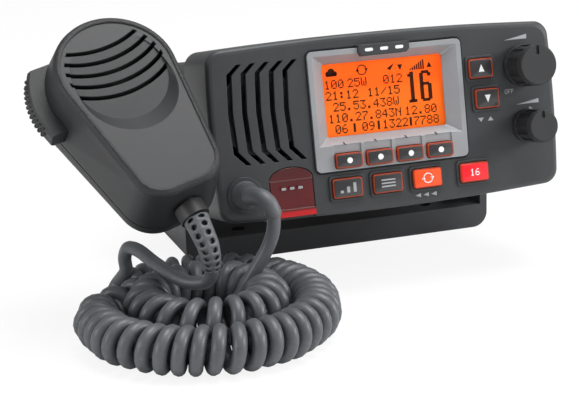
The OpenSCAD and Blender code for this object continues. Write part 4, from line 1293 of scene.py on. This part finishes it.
@dataclass
class Print:
    """Generic marks printed on the panel, its tab and the cover, and painted shade of the grooves on the
    display frame.

    Attributes:
        lift: How far a mark stands in front of the panel.
        ink: Thickness of a mark.
        volume: The volume knob's wedge: left end, right end, height of its foot, height of its thick end.
        squelch: The squelch knob's wedge.
        off: Place of the off mark.
        channel: Place of the first arrow under the arrow keys, and the step to the next.
        back: Place of the first arrow under the orange key, and the step to the next.
        pointer: Corners of the small pointer over the squelch knob.
        tab: Place of the first mark on the frame's tab, and the step to the next.
        cover: Place of the first mark on the cover, and the step to the next.
        groove_shades: Places of the painted shade of the slanted grooves over the soft keys.
        groove_shade_z: Height of the painted groove shade.
        tab_proud: How far the tab stands out of the panel.
        cover_proud: How far the cover stands out of the panel.
        frame_proud: How far the display frame stands out of the panel.
    """

    lift: float = 0.06
    ink: float = 0.05
    volume: tuple[float, float, float, float] = (61.0, 73.0, 31.2, 2.2)
    squelch: tuple[float, float, float, float] = (65.0, 77.0, 0.4, 2.0)
    off: Spot = (59.6, 8.1)
    channel: Place = (46.2, -4.8, 5.0)
    back: Place = (11.0, -36.8, 4.0)
    pointer: tuple[Spot, ...] = ((71.6, -2.9), (73.6, -2.0), (71.8, -1.0))
    tab: Place = (-8.3, 33.1, 7.5)
    cover: Place = (-54.8, -26.0, 4.0)
    # Painted shade of the frame's grooves over the soft keys: places and height.
    groove_shades: tuple[float, ...] = (-23.6, -8.3, 6.9, 22.1)
    groove_shade_z: float = -8.6
    tab_proud: float = 2.56
    cover_proud: float = 1.56
    frame_proud: float = 1.2

    def mark(self, name: str, corners: list[Spot]) -> None:
        """Prints a flat outline on the panel."""
        Shape(Face.RADIO).prism(corners, -self.lift, self.ink).done(name, GREY_PRINT, Body.RADIO)

    def panel(self) -> None:
        """Prints the wedges, the off mark, the arrows and the pointer."""
        for name, (left, right, z, height) in (("volume_mark", self.volume), ("squelch_mark", self.squelch)):
            self.mark(name, [(left, z), (right, z), (right, z + height)])
        shape = Shape(Face.RADIO).dots("OFF", (self.off[0], -self.lift, self.off[1]), (0.28, 0.3))
        shape.done("off_mark", GREY_PRINT, Body.RADIO, closed=False)
        x, z, step = self.channel
        for i, up in enumerate((-1, 1)):
            shape = Shape(Face.RADIO).arrow((x + step * i, -self.lift, z), (1.5, 0.9, 1.1), up, self.ink)
            shape.done(f"channel_mark_{i + 1}", GREY_PRINT, Body.RADIO)
        x, z, step = self.back
        for i in range(3):
            tip = x + step * i - 1.3
            self.mark(f"rewind_mark_{i + 1}", [(tip + 2.8, z - 1.0), (tip + 2.8, z + 1.0), (tip, z)])
        self.mark("squelch_pointer", list(self.pointer))

    def build(self) -> None:
        """Prints all marks, and paints the shade of the display frame's grooves."""
        self.panel()
        shape = Shape(Face.RADIO)
        x, z, step = self.tab
        for i in range(3):
            shape.plate((x + step * i, -self.tab_proud - self.lift, z), (4.0, self.lift, 1.5), 0.7)
        shape.done("tab_marks", WHITE, Body.RADIO)
        shape = Shape(Face.RADIO)
        x, z, step = self.cover
        for i in range(3):
            shape.plate((x + step * i, -self.cover_proud - self.lift, z), (2.2, self.lift, 1.2), 0.3)
        shape.done("cover_marks", GREY_PRINT, Body.COVER)
        # Dark slanted strokes over the soft keys: painted shade of the display frame's grooves.
        shape = Shape(Face.RADIO)
        slant = ((-0.9, 0.7), (-0.2, 0.7), (0.9, -0.7), (0.2, -0.7))
        for x in self.groove_shades:
            outline = [(x + across, self.groove_shade_z + up) for across, up in slant]
            shape.prism(outline, -self.frame_proud - self.lift, self.ink)
        shape.done("frame_groove_shades", DARK, Body.RADIO)


@dataclass
class Keys:
    """Caps and printed marks of the keys.

    Attributes:
        soft_pitch: Distance between the soft keys.
        soft_x: Place of the first soft key.
        soft_z: Height of the soft keys.
        soft: Width and height of a soft key.
        row_x: Places of the lower keys.
        row_z: Height of the lower keys.
        row: Width and height of a lower key.
        arrows: Places of the arrow keys.
        arrow: Width and height of an arrow key.
        proud: How far a key stands out.
        frame_proud: How far the display frame stands out of the panel.
        inset: How far a cap keeps from its key's sides.
        rise: How far a cap's face stands in front of its key.
    """

    soft_pitch: float = 15.2
    soft_x: float = -22.4
    soft_z: float = -16.3
    soft: Spot = (12.8, 6.6)
    row_x: tuple[float, ...] = (-23.9, -4.0, 15.9, 40.0)
    row_z: float = -28.9
    row: Spot = (14.4, 8.9)
    arrows: tuple[Spot, ...] = ((47.4, 19.4), (49.6, 5.0))
    arrow: Spot = (12.0, 9.0)
    proud: float = 1.8
    frame_proud: float = 1.2
    inset: float = 0.5
    rise: float = 0.35

    def cap(self, key: str, place: Place, size: Spot, finish: Finish, slot: str) -> None:
        """Puts a hard cap on a key.

        Args:
            key: The key's node.
            place: Middle of the key's front.
            size: Width and height of the key.
            finish: The cap's finish.
            slot: The record's material slot.
        """
        dress(key, KEY_RIM)
        depth = 0.5
        centre = (place[0], place[1] - self.rise + depth / 2, place[2])
        plate = (size[0] - 2 * self.inset, depth, size[1] - 2 * self.inset)
        Shape(Face.RADIO).plate(centre, plate, 0.9, 0.2).done(f"{key}_cap", finish, f"{key}_body", slot)

    def soft_keys(self) -> None:
        """Makes the soft keys' caps and dots."""
        front = -self.frame_proud - self.proud
        for i in range(4):
            key, x = f"soft_key_{i + 1}", self.soft_x + i * self.soft_pitch
            self.cap(key, (x, front, self.soft_z), self.soft, KEY_CAP, "key")
            shape = Shape(Face.RADIO).disc((x, front - self.rise - 0.02, self.soft_z), 1.35, 0.12)
            shape.done(f"{key}_dot", WHITE, f"{key}_body")

    def build(self) -> None:
        """Makes the caps and their marks."""
        self.soft_keys()
        kinds = ((KEY_CAP, "key"), (KEY_CAP, "key"), (KEY_ORANGE, "key_orange"), (KEY_RED, "key_red"))
        for i, (x, (finish, slot)) in enumerate(zip(self.row_x, kinds)):
            self.cap(f"row_key_{i + 1}", (x, -self.proud, self.row_z), self.row, finish, slot)
        for name, (x, z), up in zip(("arrow_key_up", "arrow_key_down"), self.arrows, (1, -1)):
            self.cap(name, (x, -self.proud, z), self.arrow, KEY_CAP, "key")
            shape = Shape(Face.RADIO).arrow((x, -self.proud - self.rise - 0.05, z), (1.5, 1.7, 1.9), up, 0.12)
            shape.done(f"{name}_mark", WHITE, f"{name}_body")
        self.signs()

    def signs(self) -> None:
        """Makes the lower keys' signs: growing bars, a list, two arrows in a ring, and a number."""
        front, (high, menu, turn, call) = -self.proud - self.rise - 0.03, self.row_x
        shape = Shape(Face.RADIO)
        for i in range(3):
            place = (high - 3.2 + 3.2 * i, front, self.row_z - 1.6 + 0.8 * i)
            shape.plate(place, (1.5, 0.06, 1.2 + 1.6 * i))
        shape.done("row_key_1_sign", GREY_PRINT, "row_key_1_body")
        shape = Shape(Face.RADIO)
        for i in (-1, 0, 1):
            shape.plate((menu, front, self.row_z + 1.5 * i), (7.0, 0.06, 0.7))
        shape.done("row_key_2_sign", GREY_PRINT, "row_key_2_body")
        radius = 2.2
        shape = Shape(Face.RADIO).ring((turn, front, self.row_z), radius, 0.26)
        for side in (-1, 1):
            shape.arrow((turn + radius * side, front - 0.02, self.row_z), (1.0, 0.5, 1.0), -side, 0.06)
        shape.done("row_key_3_sign", WHITE, "row_key_3_body")
        shape = Shape(Face.RADIO).dots("16", (call - 2.4, front, self.row_z + 1.6), (0.44, 0.46))
        shape.done("row_key_4_sign", WHITE, "row_key_4_body", closed=False)


@dataclass
class Controls(Assembly):
    """Knobs, flip cover and distress button."""

    finishes: dict[str, Finish] = field(
        default_factory=lambda: {
            "volume_knob": KNOB, "squelch_knob": KNOB, "distress_cover": COVER, "distress_button": BUTTON_RED,
        }
    )


@dataclass
class Housing(Assembly):
    """Rear housing, what is inside it, bracket and clamping knobs."""

    finishes: dict[str, Finish] = field(
        default_factory=lambda: {
            "rear_housing": HOUSING, "housing_screws": STEEL, "main_board": BOARD, "board_parts": CHIPS,
            "rf_shield": STEEL, "ribbon_cable": RIBBON, "antenna_socket": STEEL, "power_gland": RUBBER,
            "accessory_gland": RUBBER, "bracket": BRACKET, "clamp_knob_left": KNOB, "clamp_knob_right": KNOB,
        }
    )


@dataclass
class Microphone(Assembly):
    """The hand microphone, with rows of small bumps on its talk key.

    Attributes:
        finishes: The finish of each node.
        rows: Rows of bumps up the talk key.
        columns: Bumps in each row.
        arc: Height of the middle of the head's round outline, and the radius that the bumps lie at.
        first: Angle of the first row, and the step to the next, in degrees.
        depths: Depth of the first bump in a row, and the step to the next.
        bump: Radius of a bump.
    """

    finishes: dict[str, Finish] = field(
        default_factory=lambda: {
            "mic_front_shell": MIC_FACE, "mic_rear_shell": MIC_BACK, "mic_seal": DARK, "mic_screws": STEEL,
            "mic_board": BOARD, "mic_capsule": STEEL, "talk_key": MIC_BACK, "talk_switch": CHIPS,
            "mic_collar": DARK, "hang_stud": STEEL,
        }
    )
    rows: int = 11
    columns: int = 3
    arc: Spot = (66.5, 37.4)
    first: Spot = (189.0, 3.8)
    depths: Spot = (2.0, 2.5)
    bump: float = 0.95

    def build(self) -> None:
        """Dresses the microphone and adds the talk key's bumps."""
        super().build()
        shape = Shape(Face.MIC)
        (middle, radius), (start, step) = self.arc, self.first
        for row in range(self.rows):
            for column in range(self.columns):
                angle = math.radians(start - step * row + (step / 2 if column % 2 else 0))
                depth = self.depths[0] + self.depths[1] * column
                spot = Vector((radius * math.cos(angle), depth, middle + radius * math.sin(angle)))
                place = Matrix.Translation(spot)
                bmesh.ops.create_icosphere(shape.bm, subdivisions=2, radius=self.bump, matrix=place)
        shape.done("talk_key_bumps", MIC_BACK, Body.TALK, "mic_back", 60)


def corners() -> list[list[float]]:
    """The lowest and highest corner of all that is shown."""
    return [list(corner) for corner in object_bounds()]


def main() -> None:
    """Builds the scene."""
    logging.basicConfig(level=logging.INFO, format="%(name)s: %(message)s")
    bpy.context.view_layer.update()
    Camera().build()
    GlandLead().build()
    CurlyCord().build()
    Boot().build()
    for part in (FrontPanel(), Readout(), Print(), Keys(), Controls(), Housing(), Microphone(), Studio()):
        part.build()


if __name__ == "__main__":
    main()
